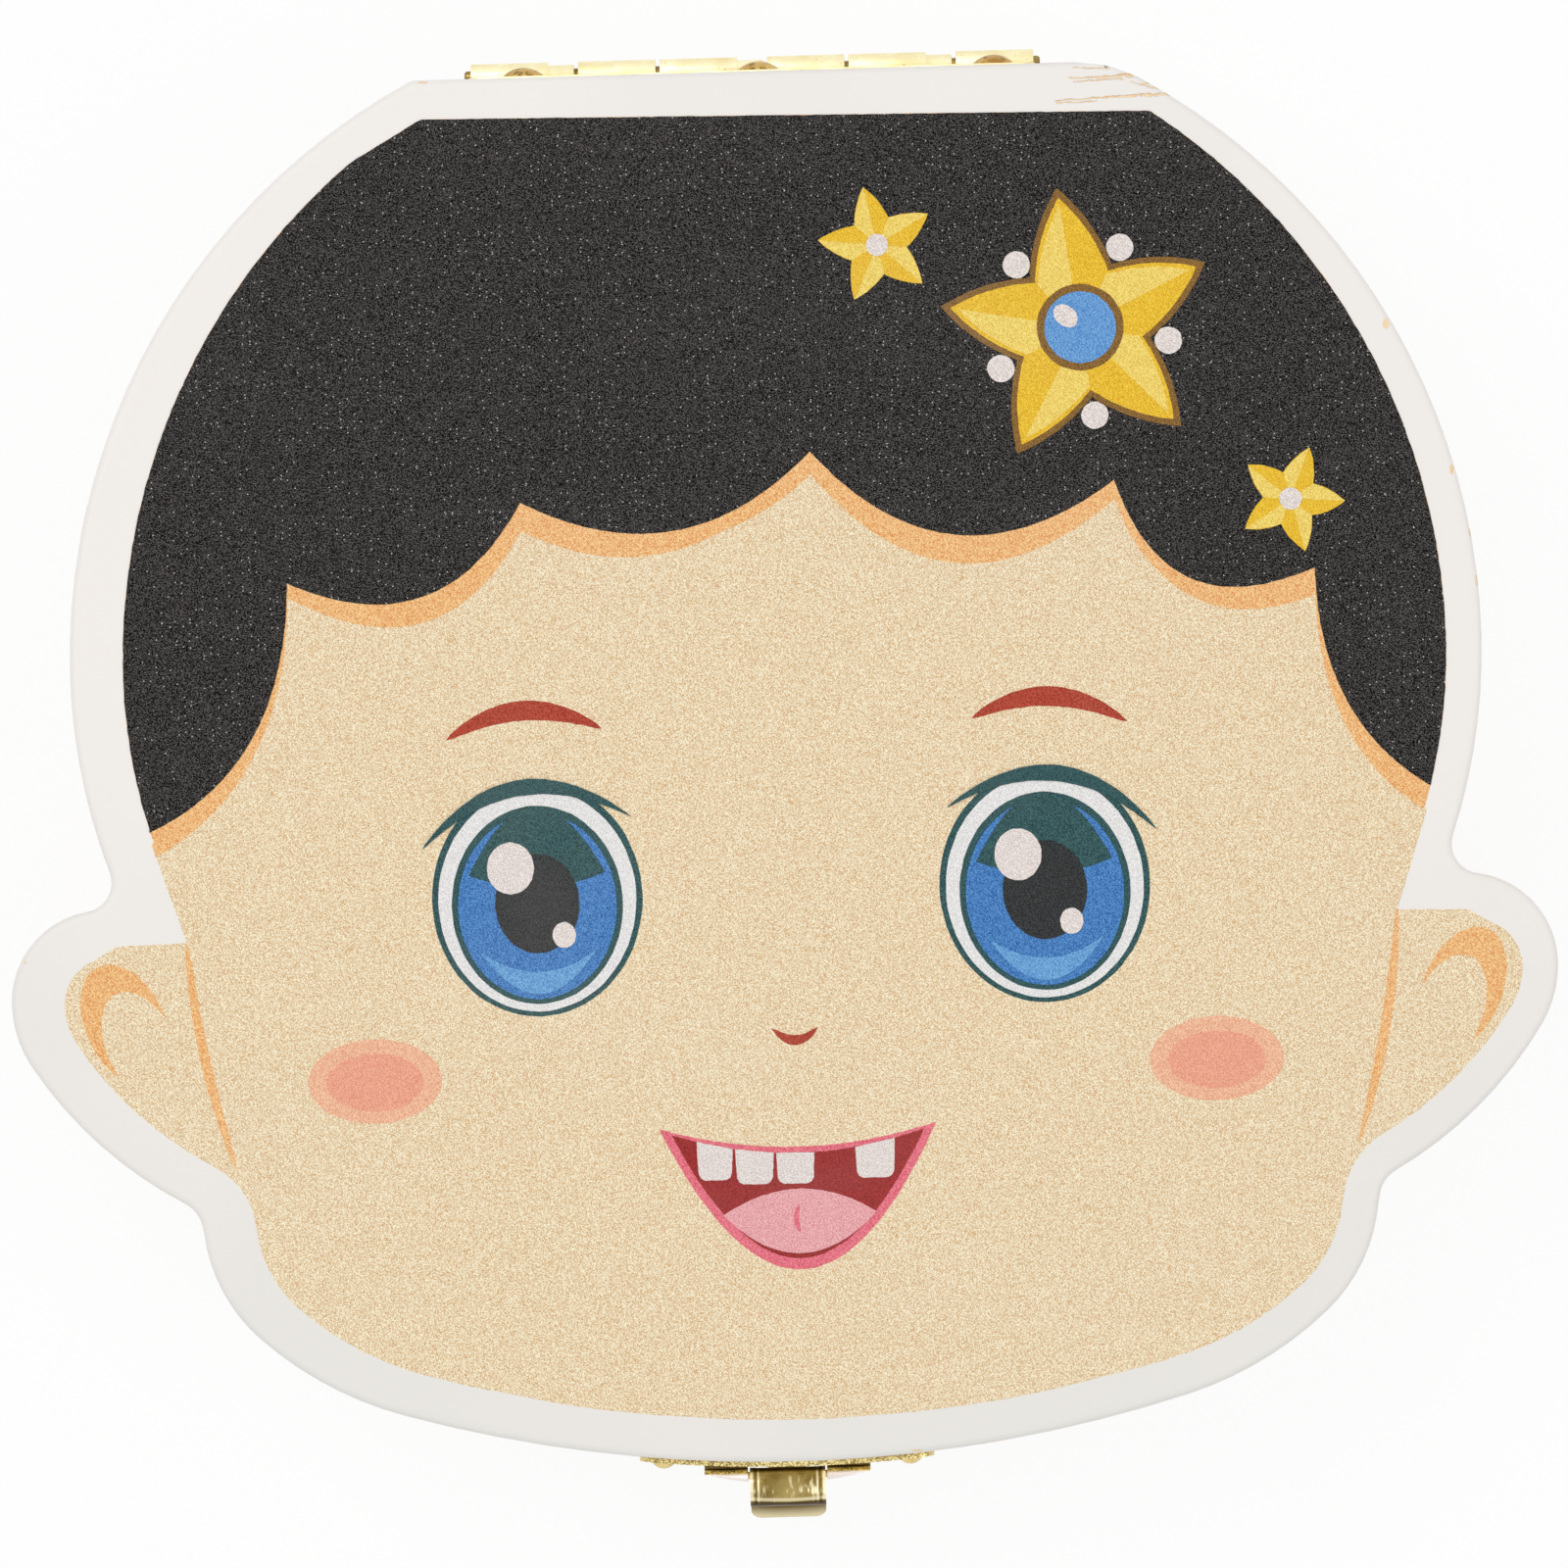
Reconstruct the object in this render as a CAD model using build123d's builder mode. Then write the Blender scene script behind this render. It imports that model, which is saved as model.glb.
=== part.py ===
from build123d import *
import os
from math import cos, pi, radians, sin, sqrt, tan

# A child's keepsake box for milk teeth. Two shallow wooden halves share one outline, a round
# head with two ears and a flat back. A hinge strip joins them along the flat back, and a small
# duckbill latch closes them at the chin. The lower half holds a board with a ring of tooth
# pockets round a round pocket and a long one.
# The frame is +Z up, +Y towards the hinge, with the origin on the table under the middle of
# everything, hinge barrel and latch included. Lengths are in millimetres.

# Outline of the head, seen from above
crown_half_width = 57.05
head_depth = 112.4
back_flat_half = 28.1
back_corner_radius = 1.2
ear_reach = 5.45
ear_top_radius = 7.4
ear_lobe_inset = 1.45
ear_notch_radius = 2.4
ear_root_radius = 2.7

# Places along the outline: across as a share of the crown's half width, and from the chin
# towards the back as a share of the head's depth
crown_side_shares = (1, 0.58)
temple_shares = (0.9215, 0.3995)
cheek_shares = (0.832, 0.1753)
jaw_shares = (0.756, 0.0984)
chin_end_shares = (0.555, 0.0407)
ear_tip_depth_share = 0.344
ear_lobe_depth_share = 0.2993
ear_end_shares = (0.8047, 0.1842)

# Boards and frames
board_thickness = 3.0
base_frame_height = 12.0
lid_frame_height = 12.0
wall_width = 8.0
ledge_width = 3.0
lining_thickness = 3.0
lining_recess = 0.5
board_clearance = 0.15
edge_radius = 0.6

# Tooth tray
tray_floor_thickness = 4.0
pocket_board_thickness = 7.5
tooth_count = 20
tooth_pocket_web = 2.1
tooth_ring_side_inset = 9.4
tooth_ring_end_inset = 10.1
cord_pocket_radius = 12.0
hair_pocket_width = 13.0
hair_pocket_end_gap = 11.7

# Hinge strip with rolled knuckles
hinge_offset = -0.6
hinge_setback = 0.1
knuckle_pairs = 3
knuckle_radius = 1.0
knuckle_length = 6.35
knuckle_gap = 0.35
shoulder_length = 2.1
shoulder_step = 0.25
roll_slit = 0.12
leaf_thickness = 0.5
leaf_height = 8.5
leaf_corner_radius = 1.2
leaf_notch_clearance = 0.3
hinge_pin_radius = 0.45
hinge_pin_overhang = 0.55
pin_clearance = 0.05
pin_end_chamfer = 0.15

# Round-headed nails of the hinge
hinge_nail_spacing = 19.2
hinge_nail_shift = 0.5
hinge_nail_head_radius = 1.9
hinge_nail_dome = 0.9
hinge_nail_radius = 0.7
hinge_nail_length = 6.0
nail_clearance = 0.05

# Latch plates at the chin, bent to its curve
latch_offset = -0.9
plate_thickness = 0.5
plate_gap = 0.25
plate_corner_radius = 1.4
lid_plate_width = 24.0
lid_plate_height = 8.0
catch_plate_width = 18.0
catch_plate_height = 7.5
catch_plate_drop = 2.5

# Latch pivot, with the two rolled wings that hold its pin
pivot_reach = 1.85
pivot_height = 1.3
pivot_barrel_radius = 0.65
wing_span = 13.6
wing_tip_reach = 1.65
pivot_pin_radius = 0.3
pivot_pin_length = 7.4

# Duckbill tongue, pressed from sheet with two cheeks that turn on the pin
tongue_width = 6.2
tongue_thickness = 0.5
tongue_side_gap = 0.15
tongue_reach = 4.2
tongue_back_reach = 1.6
tongue_bend_radius = 1.1
cheek_drop = 2.2
tongue_bar_drop = 7.7
tongue_bar_height = 1.0
tongue_lip_reach = 6.0
tongue_lip_angle = 45.0
tongue_corner_radius = 0.9
window_width = 4.2
window_height = 3.2
window_corner_radius = 0.4

# Hook of the catch, which the tongue's window goes over
hook_width = 3.2
hook_thickness = 0.8
hook_drop = 5.8
hook_nose_thickness = 0.5
hook_nose_depth = 0.8
hook_clearance = 0.1

# Small round-headed nails of the latch
lid_latch_nail_spacing = 20.2
catch_nail_spacing = 13.0
latch_nail_rise = 5.0
latch_nail_head_radius = 1.0
latch_nail_dome = 0.6
latch_nail_radius = 0.45
latch_nail_length = 5.0

# Levels and places worked out from the sizes above
seam_z = board_thickness + base_frame_height
lid_frame_top = seam_z + lid_frame_height
lining_top = seam_z + lining_recess + lining_thickness
hinge_reach = hinge_setback + 2 * knuckle_radius
front_y = -(head_depth + hinge_reach - tongue_lip_reach) / 2
back_y = front_y + head_depth


def outline_point(shares):
    """A place on the outline, from its shares of the crown's half width and the depth."""
    across, along = shares
    return (across * crown_half_width, front_y + along * head_depth)


chin_end = outline_point(chin_end_shares)
jaw = outline_point(jaw_shares)
cheek = outline_point(cheek_shares)
temple = outline_point(temple_shares)
crown_side = outline_point(crown_side_shares)
ear_end = outline_point(ear_end_shares)
ear_tip = (crown_half_width + ear_reach, front_y + ear_tip_depth_share * head_depth)
ear_root = (ear_tip[0] - 2 * ear_top_radius, ear_tip[1])
ear_lobe = (ear_tip[0] - ear_lobe_inset, front_y + ear_lobe_depth_share * head_depth)

# Head without its ears: one half from the chin round to the back, then mirrored
with BuildSketch() as head:
    with BuildLine():
        chin = TangentArc((0, front_y), chin_end, tangent=(1, 0))
        lower_jaw = TangentArc(chin_end, jaw, tangent=chin % 1)
        TangentArc(jaw, cheek, tangent=lower_jaw % 1)
        Line(cheek, temple)
        TangentArc(crown_side, temple, tangent=(0, -1))
        TangentArc(crown_side, (back_flat_half, back_y), tangent=(0, 1))
        Polyline((back_flat_half, back_y), (0, back_y), (0, front_y))
    make_face()
    mirror(about=Plane.YZ)

with BuildSketch() as ear:
    with BuildLine():
        TangentArc(ear_tip, ear_root, tangent=(0, 1))
        lobe = TangentArc(ear_tip, ear_lobe, tangent=(0, -1))
        TangentArc(ear_lobe, ear_end, tangent=lobe % 1)
        Line(ear_end, ear_root)
    make_face()


def nearest(vertices, x, y):
    """The two corners, one on each side, that lie nearest to a place on the right side."""
    return vertices.sort_by(lambda v: abs(abs(v.X) - x) + abs(v.Y - y))[:2]


# Whole outline: the head with both ears, rounded where they join and at the back
with BuildSketch() as outline:
    add(head.sketch)
    add(ear.sketch)
    mirror(ear.sketch, about=Plane.YZ)
    fillet(nearest(outline.vertices(), temple[0], ear_tip[1] + ear_top_radius), ear_notch_radius)
    fillet(nearest(outline.vertices(), cheek[0], (cheek[1] + ear_lobe[1]) / 2), ear_root_radius)
    fillet(nearest(outline.vertices(), back_flat_half, back_y), back_corner_radius)

# The ears stay solid, so the spaces inside the frames follow the head alone
board_inset = wall_width + board_clearance
with BuildSketch() as cavity:
    add(head.sketch)
    offset(amount=-wall_width, kind=Kind.TANGENT)

with BuildSketch() as ledge_opening:
    add(head.sketch)
    offset(amount=-(wall_width + ledge_width), kind=Kind.TANGENT)

with BuildSketch() as inner_board:
    add(head.sketch)
    offset(amount=-board_inset, kind=Kind.TANGENT)

# The chin is one arc about this centre, and the latch plates are bent to it
chin_sag = chin_end[1] - front_y
chin_radius = (chin_end[0] ** 2 + chin_sag**2) / (2 * chin_sag)
chin_centre_y = front_y + chin_radius
plate_outside = plate_gap + plate_thickness


def chin_plane(x, z):
    """A plane that touches the outside of a latch plate and faces away from the chin."""
    depth = sqrt((chin_radius + plate_outside) ** 2 - x**2)
    return Plane(origin=(x, chin_centre_y - depth, z), x_dir=(depth, x, 0), z_dir=(x, -depth, 0))


# Places of the nails, with the hinge's and the latch's levels
hinge_axis_y = back_y + hinge_setback + knuckle_radius
nail_row = (knuckle_radius + leaf_notch_clearance + leaf_height) / 2
hinge_nail_xs = [hinge_offset + hinge_nail_shift + i * hinge_nail_spacing for i in (-1, 0, 1)]
pivot_y = front_y - pivot_reach
pivot_z = seam_z + pivot_height
lid_plate_bottom = pivot_z - pivot_barrel_radius
catch_plate_bottom = seam_z - catch_plate_drop - catch_plate_height
catch_nail_z = catch_plate_bottom + catch_plate_height / 2


def hinge_nail_planes(side):
    """Places of the nails of one leaf, above the seam for side 1 and below it for side -1."""
    return [
        Plane(origin=(x, back_y + leaf_thickness, seam_z + side * nail_row), z_dir=(0, 1, 0))
        for x in hinge_nail_xs
    ]


def latch_nail_planes(spacing, z):
    """Places of the two nails of one latch plate."""
    return [chin_plane(latch_offset + side * spacing / 2, z) for side in (-1, 1)]


lid_hinge_nails = hinge_nail_planes(1)
base_hinge_nails = hinge_nail_planes(-1)
lid_latch_nails = latch_nail_planes(lid_latch_nail_spacing, lid_plate_bottom + latch_nail_rise)
catch_nails = latch_nail_planes(catch_nail_spacing, catch_nail_z)


def cut_nail_holes(planes, shank_radius, shank_length):
    """Cuts a hole for each nail into the piece being built."""
    with Locations(*planes):
        Cylinder(
            shank_radius + nail_clearance,
            shank_length + nail_clearance,
            align=(Align.CENTER, Align.CENTER, Align.MAX),
            mode=Mode.SUBTRACT,
        )


def cut_hinge_nail_holes(planes):
    """Cuts the holes of a hinge leaf's nails."""
    cut_nail_holes(planes, hinge_nail_radius, hinge_nail_length)


def cut_latch_nail_holes(planes):
    """Cuts the holes of a latch plate's nails."""
    cut_nail_holes(planes, latch_nail_radius, latch_nail_length)


# Lower half: bottom board, frame, and the two boards of the tooth tray
with BuildPart() as base_board:
    with BuildSketch():
        add(outline.sketch)
    extrude(amount=board_thickness)
    chamfer(base_board.faces().sort_by(Axis.Z)[0].edges(), edge_radius)

with BuildPart() as base_frame:
    with BuildSketch(Plane.XY.offset(board_thickness)):
        add(outline.sketch)
        add(cavity.sketch, mode=Mode.SUBTRACT)
    extrude(amount=base_frame_height)
    cut_hinge_nail_holes(base_hinge_nails)
    cut_latch_nail_holes(catch_nails)

with BuildPart() as tray_floor_board:
    with BuildSketch(Plane.XY.offset(board_thickness)):
        add(inner_board.sketch)
    extrude(amount=tray_floor_thickness)

# The tooth pockets stand on an oval that follows the board's edge, with one web between
# neighbours, and the round and the long pocket share the space inside with equal gaps
ring_y = (front_y + back_y) / 2
ring_half_width = crown_half_width - board_inset - tooth_ring_side_inset
ring_half_depth = head_depth / 2 - board_inset - tooth_ring_end_inset
tooth_angles = [2 * pi * (i + 0.5) / tooth_count for i in range(tooth_count)]
tooth_places = [
    (ring_half_width * cos(a), ring_y + ring_half_depth * sin(a)) for a in tooth_angles
]
tooth_pitch = 2 * min(ring_half_width, ring_half_depth) * sin(pi / tooth_count)
tooth_pocket_radius = (tooth_pitch - tooth_pocket_web) / 2
hair_pocket_length = 2 * (ring_half_width - tooth_pocket_radius - hair_pocket_end_gap)
inner_half_depth = ring_half_depth - tooth_pocket_radius
inner_gap = (2 * inner_half_depth - 2 * cord_pocket_radius - hair_pocket_width) / 3
cord_pocket_y = ring_y + inner_half_depth - inner_gap - cord_pocket_radius
hair_pocket_y = ring_y - inner_half_depth + inner_gap + hair_pocket_width / 2
with BuildPart() as tooth_pocket_board:
    with BuildSketch(Plane.XY.offset(board_thickness + tray_floor_thickness)):
        add(inner_board.sketch)
        with Locations(*tooth_places):
            Circle(tooth_pocket_radius, mode=Mode.SUBTRACT)
        with Locations((0, cord_pocket_y)):
            Circle(cord_pocket_radius, mode=Mode.SUBTRACT)
        with Locations((0, hair_pocket_y)):
            SlotOverall(hair_pocket_length, hair_pocket_width, mode=Mode.SUBTRACT)
    extrude(amount=pocket_board_thickness)

# Upper half: face board, frame with a rebate, and the lining board seated in it
with BuildPart() as lid_face_board:
    with BuildSketch(Plane.XY.offset(lid_frame_top)):
        add(outline.sketch)
    extrude(amount=board_thickness)
    fillet(lid_face_board.faces().sort_by(Axis.Z)[-1].edges(), edge_radius)

with BuildPart() as lid_frame:
    with BuildSketch(Plane.XY.offset(seam_z)):
        add(outline.sketch)
        add(ledge_opening.sketch, mode=Mode.SUBTRACT)
    extrude(amount=lid_frame_height)
    with BuildSketch(Plane.XY.offset(seam_z)):
        add(cavity.sketch)
    extrude(amount=lining_top - seam_z, mode=Mode.SUBTRACT)
    cut_hinge_nail_holes(lid_hinge_nails)
    cut_latch_nail_holes(lid_latch_nails)

with BuildPart() as lid_lining_board:
    with BuildSketch(Plane.XY.offset(lining_top)):
        add(inner_board.sketch)
    extrude(amount=-lining_thickness)

# Hinge strip: the knuckles take turns along one pin, the base leaf's first
base_knuckle_length = knuckle_length + shoulder_length
knuckle_pitch = base_knuckle_length + knuckle_length + 2 * knuckle_gap
hinge_length = knuckle_pairs * knuckle_pitch - knuckle_gap
hinge_start = hinge_offset - hinge_length / 2
base_knuckle_xs = [hinge_start + i * knuckle_pitch for i in range(knuckle_pairs)]
lid_knuckle_xs = [x + base_knuckle_length + knuckle_gap for x in base_knuckle_xs]


def hinge_rod(x, length, radius, mode=Mode.ADD):
    """Adds or cuts a rod on the hinge's axis, from x towards +X."""
    with BuildSketch(Plane.YZ.offset(x)) as rod:
        with Locations((hinge_axis_y, seam_z)):
            Circle(radius)
    extrude(rod.sketch, amount=length, mode=mode)


def leaf_cut(x, length, low, high):
    """Cuts a leaf right through, from x towards +X and between two heights."""
    with BuildSketch(Plane.XZ.offset(-back_y)) as cut:
        with Locations((x, low)):
            Rectangle(length, high - low, align=Align.MIN)
    extrude(cut.sketch, amount=-leaf_thickness, mode=Mode.SUBTRACT)


def hinge_leaf(side, own_xs, own_shoulder, other_xs, other_length, nails):
    """One leaf of the hinge: it goes up the lid for side 1, and down the base for side -1."""
    notch_depth = knuckle_radius + leaf_notch_clearance
    own_length = knuckle_length + own_shoulder
    with BuildPart() as leaf:
        with BuildSketch(Plane.XZ.offset(-back_y)):
            with Locations((hinge_offset, seam_z + side * leaf_height / 2)):
                Rectangle(hinge_length, leaf_height)
        extrude(amount=-leaf_thickness)
        far_corners = leaf.edges().filter_by(Axis.Y).sort_by(lambda e: -side * e.center().Z)[:2]
        fillet(far_corners, leaf_corner_radius)
        for x in other_xs:
            leaf_cut(
                x - knuckle_gap,
                other_length + 2 * knuckle_gap,
                seam_z - notch_depth,
                seam_z + notch_depth,
            )
        for x in own_xs:
            hinge_rod(x, knuckle_length, knuckle_radius)
            if own_shoulder:
                hinge_rod(x + knuckle_length, own_shoulder, knuckle_radius - shoulder_step)
            hinge_rod(x, own_length, hinge_pin_radius + pin_clearance, Mode.SUBTRACT)
            with BuildSketch(Plane.YZ.offset(x)):
                with Locations((back_y + leaf_thickness, seam_z)):
                    Rectangle(
                        roll_slit,
                        2 * knuckle_radius,
                        align=(Align.MIN, Align.MIN if side > 0 else Align.MAX),
                    )
            extrude(amount=own_length, mode=Mode.SUBTRACT)
        cut_hinge_nail_holes(nails)
    return leaf


hinge_lid_leaf = hinge_leaf(
    1, lid_knuckle_xs, 0, base_knuckle_xs, base_knuckle_length, lid_hinge_nails
)
hinge_base_leaf = hinge_leaf(
    -1, base_knuckle_xs, shoulder_length, lid_knuckle_xs, knuckle_length, base_hinge_nails
)

with BuildPart() as hinge_pin:
    hinge_rod(hinge_start - hinge_pin_overhang, hinge_length + 2 * hinge_pin_overhang, hinge_pin_radius)
    chamfer(hinge_pin.edges().filter_by(GeomType.CIRCLE), pin_end_chamfer)


def round_nail(head_radius, dome, shank_radius, shank_length):
    """A round-headed nail along Z, with the flat side of its head on the origin."""
    with BuildSketch(Plane.XZ) as profile:
        with BuildLine():
            TangentArc((0, dome), (head_radius, 0), tangent=(1, 0))
            Polyline(
                (head_radius, 0),
                (shank_radius, 0),
                (shank_radius, 2 * shank_radius - shank_length),
                (0, -shank_length),
                (0, dome),
            )
        make_face()
    return revolve(profile.sketch, axis=Axis.Z, mode=Mode.PRIVATE)


def nail_group(nail, planes):
    """Copies of one nail at each of its places."""
    with BuildPart() as group:
        with Locations(*planes):
            add(nail)
    return group


hinge_nail = round_nail(hinge_nail_head_radius, hinge_nail_dome, hinge_nail_radius, hinge_nail_length)
latch_nail = round_nail(latch_nail_head_radius, latch_nail_dome, latch_nail_radius, latch_nail_length)
hinge_lid_nails = nail_group(hinge_nail, lid_hinge_nails)
hinge_base_nails = nail_group(hinge_nail, base_hinge_nails)
latch_lid_plate_nails = nail_group(latch_nail, lid_latch_nails)
latch_catch_plate_nails = nail_group(latch_nail, catch_nails)


def chin_plate(width, height, bottom):
    """A thin plate with rounded corners, bent to the chin, added to the piece being built."""
    with BuildSketch(Plane.XY.offset(bottom)) as band:
        with Locations((0, chin_centre_y)):
            Circle(chin_radius + plate_outside)
            Circle(chin_radius + plate_gap, mode=Mode.SUBTRACT)
    extrude(band.sketch, amount=height)
    with BuildSketch(Plane.XZ.offset(tongue_lip_reach - front_y)) as face:
        with Locations((latch_offset, bottom + height / 2)):
            RectangleRounded(width, height, plate_corner_radius)
    extrude(face.sketch, amount=-2 * tongue_lip_reach, mode=Mode.INTERSECT)


def pivot_rod(width, radius, mode=Mode.ADD):
    """Adds or cuts a rod on the latch's pivot, centred on the latch."""
    with BuildSketch(Plane.YZ.offset(latch_offset)) as rod:
        with Locations((pivot_y, pivot_z)):
            Circle(radius)
    extrude(rod.sketch, amount=width / 2, both=True, mode=mode)


pivot_bore = pivot_pin_radius + pin_clearance
fork_gap = tongue_width + 2 * tongue_side_gap

# Wings of the latch: the upper plate's lower edge rolled outwards, drawn in towards the tips,
# with a gap in the middle where the tongue turns
wing_front = pivot_reach + pivot_barrel_radius
wing_bulge = wing_front - wing_tip_reach
wing_radius = ((wing_span / 2) ** 2 + wing_bulge**2) / (2 * wing_bulge)
with BuildPart() as wings:
    pivot_rod(wing_span, pivot_barrel_radius)
    with BuildSketch(Plane.YZ.offset(latch_offset)):
        with Locations((pivot_y, lid_plate_bottom)):
            Rectangle(pivot_reach - plate_gap, plate_thickness, align=Align.MIN)
    extrude(amount=wing_span / 2, both=True)
    with BuildSketch(Plane.XY.offset(lid_plate_bottom)):
        with Locations((latch_offset, front_y - wing_front + wing_radius)):
            Circle(wing_radius)
    extrude(amount=2 * pivot_barrel_radius, mode=Mode.INTERSECT)
    with BuildSketch(Plane.XY.offset(lid_plate_bottom)):
        with Locations((latch_offset, front_y)):
            Rectangle(fork_gap, 2 * wing_front)
    extrude(amount=2 * pivot_barrel_radius, mode=Mode.SUBTRACT)
    pivot_rod(pivot_pin_length + 2 * pin_clearance, pivot_bore, Mode.SUBTRACT)

with BuildPart() as latch_lid_plate:
    chin_plate(lid_plate_width, lid_plate_height, lid_plate_bottom)
    add(wings)
    cut_latch_nail_holes(lid_latch_nails)

with BuildPart() as latch_pivot_pin:
    pivot_rod(pivot_pin_length, pivot_pin_radius)
    chamfer(latch_pivot_pin.edges().filter_by(GeomType.CIRCLE), pin_end_chamfer)

# Tongue: a bent strip between two cheeks, with a window, a bar below it and a flared lip
arm_z = pivot_z + pivot_barrel_radius - tongue_thickness / 2
window_bottom = pivot_z - tongue_bar_drop
lip_top = window_bottom - tongue_bar_height
lip_end_reach = tongue_lip_reach - tongue_thickness / 2 * cos(radians(tongue_lip_angle))
lip_drop = (lip_end_reach - tongue_reach) / tan(radians(tongue_lip_angle))
arm_corner = (front_y - tongue_reach, arm_z)
with BuildPart() as latch_tongue:
    with BuildSketch(Plane.YZ.offset(latch_offset)):
        with BuildLine():
            FilletPolyline(
                (front_y - tongue_back_reach, arm_z),
                arm_corner,
                (front_y - tongue_reach, lip_top),
                (front_y - lip_end_reach, lip_top - lip_drop),
                radius=tongue_bend_radius,
            )
        trace(line_width=tongue_thickness)
    extrude(amount=tongue_width / 2, both=True)
    with BuildSketch(Plane.YZ.offset(latch_offset)):
        with BuildLine():
            FilletPolyline(
                (pivot_y, arm_z),
                arm_corner,
                (front_y - tongue_reach, pivot_z - cheek_drop),
                radius=tongue_bend_radius,
            )
            Polyline(
                (front_y - tongue_reach, pivot_z - cheek_drop),
                (pivot_y, pivot_z - pivot_barrel_radius),
                (pivot_y, arm_z),
            )
        make_face()
        with Locations((pivot_y, pivot_z)):
            Circle(pivot_barrel_radius)
    extrude(amount=tongue_width / 2, both=True)
    with BuildSketch(Plane.YZ.offset(latch_offset)):
        with Locations((front_y - tongue_reach + tongue_thickness / 2, arm_z - tongue_thickness / 2)):
            Rectangle(tongue_reach, arm_z, align=(Align.MIN, Align.MAX))
    extrude(amount=tongue_width / 2 - tongue_thickness, both=True, mode=Mode.SUBTRACT)
    pivot_rod(tongue_width, pivot_bore, Mode.SUBTRACT)
    with BuildSketch(Plane.XZ.offset(tongue_lip_reach - front_y)):
        with Locations((latch_offset, window_bottom + window_height / 2)):
            RectangleRounded(window_width, window_height, window_corner_radius)
    extrude(amount=-tongue_lip_reach, mode=Mode.SUBTRACT)
    lip_end = latch_tongue.faces().sort_by(lambda f: f.center().Z)[0]
    lip_corners = lip_end.edges().filter_by(lambda e: e.length < tongue_width / 2)
    fillet(lip_corners, tongue_corner_radius)

# Lower plate of the latch, with the hook that holds the tongue's bar
hook_top = pivot_z - hook_drop
hook_reach = tongue_reach - tongue_thickness / 2 - hook_clearance
with BuildPart() as latch_catch_plate:
    chin_plate(catch_plate_width, catch_plate_height, catch_plate_bottom)
    with BuildSketch(Plane.YZ.offset(latch_offset)):
        with Locations((front_y - hook_reach, hook_top)):
            Rectangle(hook_reach - plate_gap, hook_thickness, align=(Align.MIN, Align.MAX))
            Rectangle(
                hook_nose_thickness,
                hook_thickness + hook_nose_depth,
                align=(Align.MIN, Align.MAX),
            )
    extrude(amount=hook_width / 2, both=True)
    nose_edge = latch_catch_plate.edges().filter_by(Axis.X).sort_by(
        lambda e: abs(e.center().Y - front_y + hook_reach) + abs(e.center().Z - hook_top)
    )[0]
    fillet(nose_edge, hook_nose_thickness)
    cut_latch_nail_holes(catch_nails)

pieces = {
    "base_board": base_board,
    "base_frame": base_frame,
    "tray_floor_board": tray_floor_board,
    "tooth_pocket_board": tooth_pocket_board,
    "lid_face_board": lid_face_board,
    "lid_frame": lid_frame,
    "lid_lining_board": lid_lining_board,
    "hinge_lid_leaf": hinge_lid_leaf,
    "hinge_base_leaf": hinge_base_leaf,
    "hinge_pin": hinge_pin,
    "hinge_lid_nails": hinge_lid_nails,
    "hinge_base_nails": hinge_base_nails,
    "latch_lid_plate": latch_lid_plate,
    "latch_lid_plate_nails": latch_lid_plate_nails,
    "latch_pivot_pin": latch_pivot_pin,
    "latch_tongue": latch_tongue,
    "latch_catch_plate": latch_catch_plate,
    "latch_catch_plate_nails": latch_catch_plate_nails,
}

os.makedirs("parts", exist_ok=True)
for name, piece in pieces.items():
    piece.part.label = name
    export_step(piece.part, f"parts/{name}.step")
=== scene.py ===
import logging
import math
from dataclasses import dataclass, field
from enum import Enum
from functools import reduce
from typing import Mapping, Sequence

import bmesh
import bpy
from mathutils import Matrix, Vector, noise
from mathutils.geometry import intersect_line_line_2d, intersect_point_line


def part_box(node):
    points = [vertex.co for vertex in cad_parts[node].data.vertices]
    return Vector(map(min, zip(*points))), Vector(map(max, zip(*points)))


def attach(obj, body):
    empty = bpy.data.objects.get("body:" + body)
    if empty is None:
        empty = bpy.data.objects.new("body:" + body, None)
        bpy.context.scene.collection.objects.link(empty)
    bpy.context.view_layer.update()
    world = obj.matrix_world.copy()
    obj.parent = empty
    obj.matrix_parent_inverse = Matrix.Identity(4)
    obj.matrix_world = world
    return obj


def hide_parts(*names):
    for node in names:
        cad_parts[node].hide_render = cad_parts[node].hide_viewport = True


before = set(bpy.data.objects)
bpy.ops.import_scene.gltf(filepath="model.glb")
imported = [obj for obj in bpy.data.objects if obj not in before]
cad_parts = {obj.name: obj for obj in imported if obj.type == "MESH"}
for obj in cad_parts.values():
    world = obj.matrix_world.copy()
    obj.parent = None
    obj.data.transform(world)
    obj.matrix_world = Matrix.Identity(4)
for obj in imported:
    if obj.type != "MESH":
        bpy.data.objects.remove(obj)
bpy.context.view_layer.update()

# A child's keepsake box for milk teeth: two wooden halves shaped like a head with two ears, a
# printed lid, a brass strip hinge along the flat back and a duckbill latch at the chin.
# Sizes and places are in millimetres, turned into metres by MM where Blender takes them.
MM = 0.001
POINT_STEP = 0.4

# A knot is a corner across and along, with how far the side after it bows to the right.
# A cut is a place across and along on an upright plane, and which way it faces in degrees.
# A spot is a place across and along, and its two radii.
# A feed is what a socket or a setting takes: another node's output, or a value.
Point = tuple[float, float]
Outline = list[Point]
Knot = tuple[float, float, float]
Cut = tuple[float, float, float]
Spot = tuple[float, float, float, float]
Rgb = tuple[int, int, int]
Feed = object

log = logging.getLogger("tooth_box")


class Body(Enum):
    """The bodies of the frame that pieces ride on."""

    BASE = "base"
    LID = "lid"
    TONGUE = "tongue"


class Slot(Enum):
    """The material slots of the record."""

    PAINT = "painted_wood"
    WOOD = "natural_wood"
    BRASS = "brass_plate"


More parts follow.
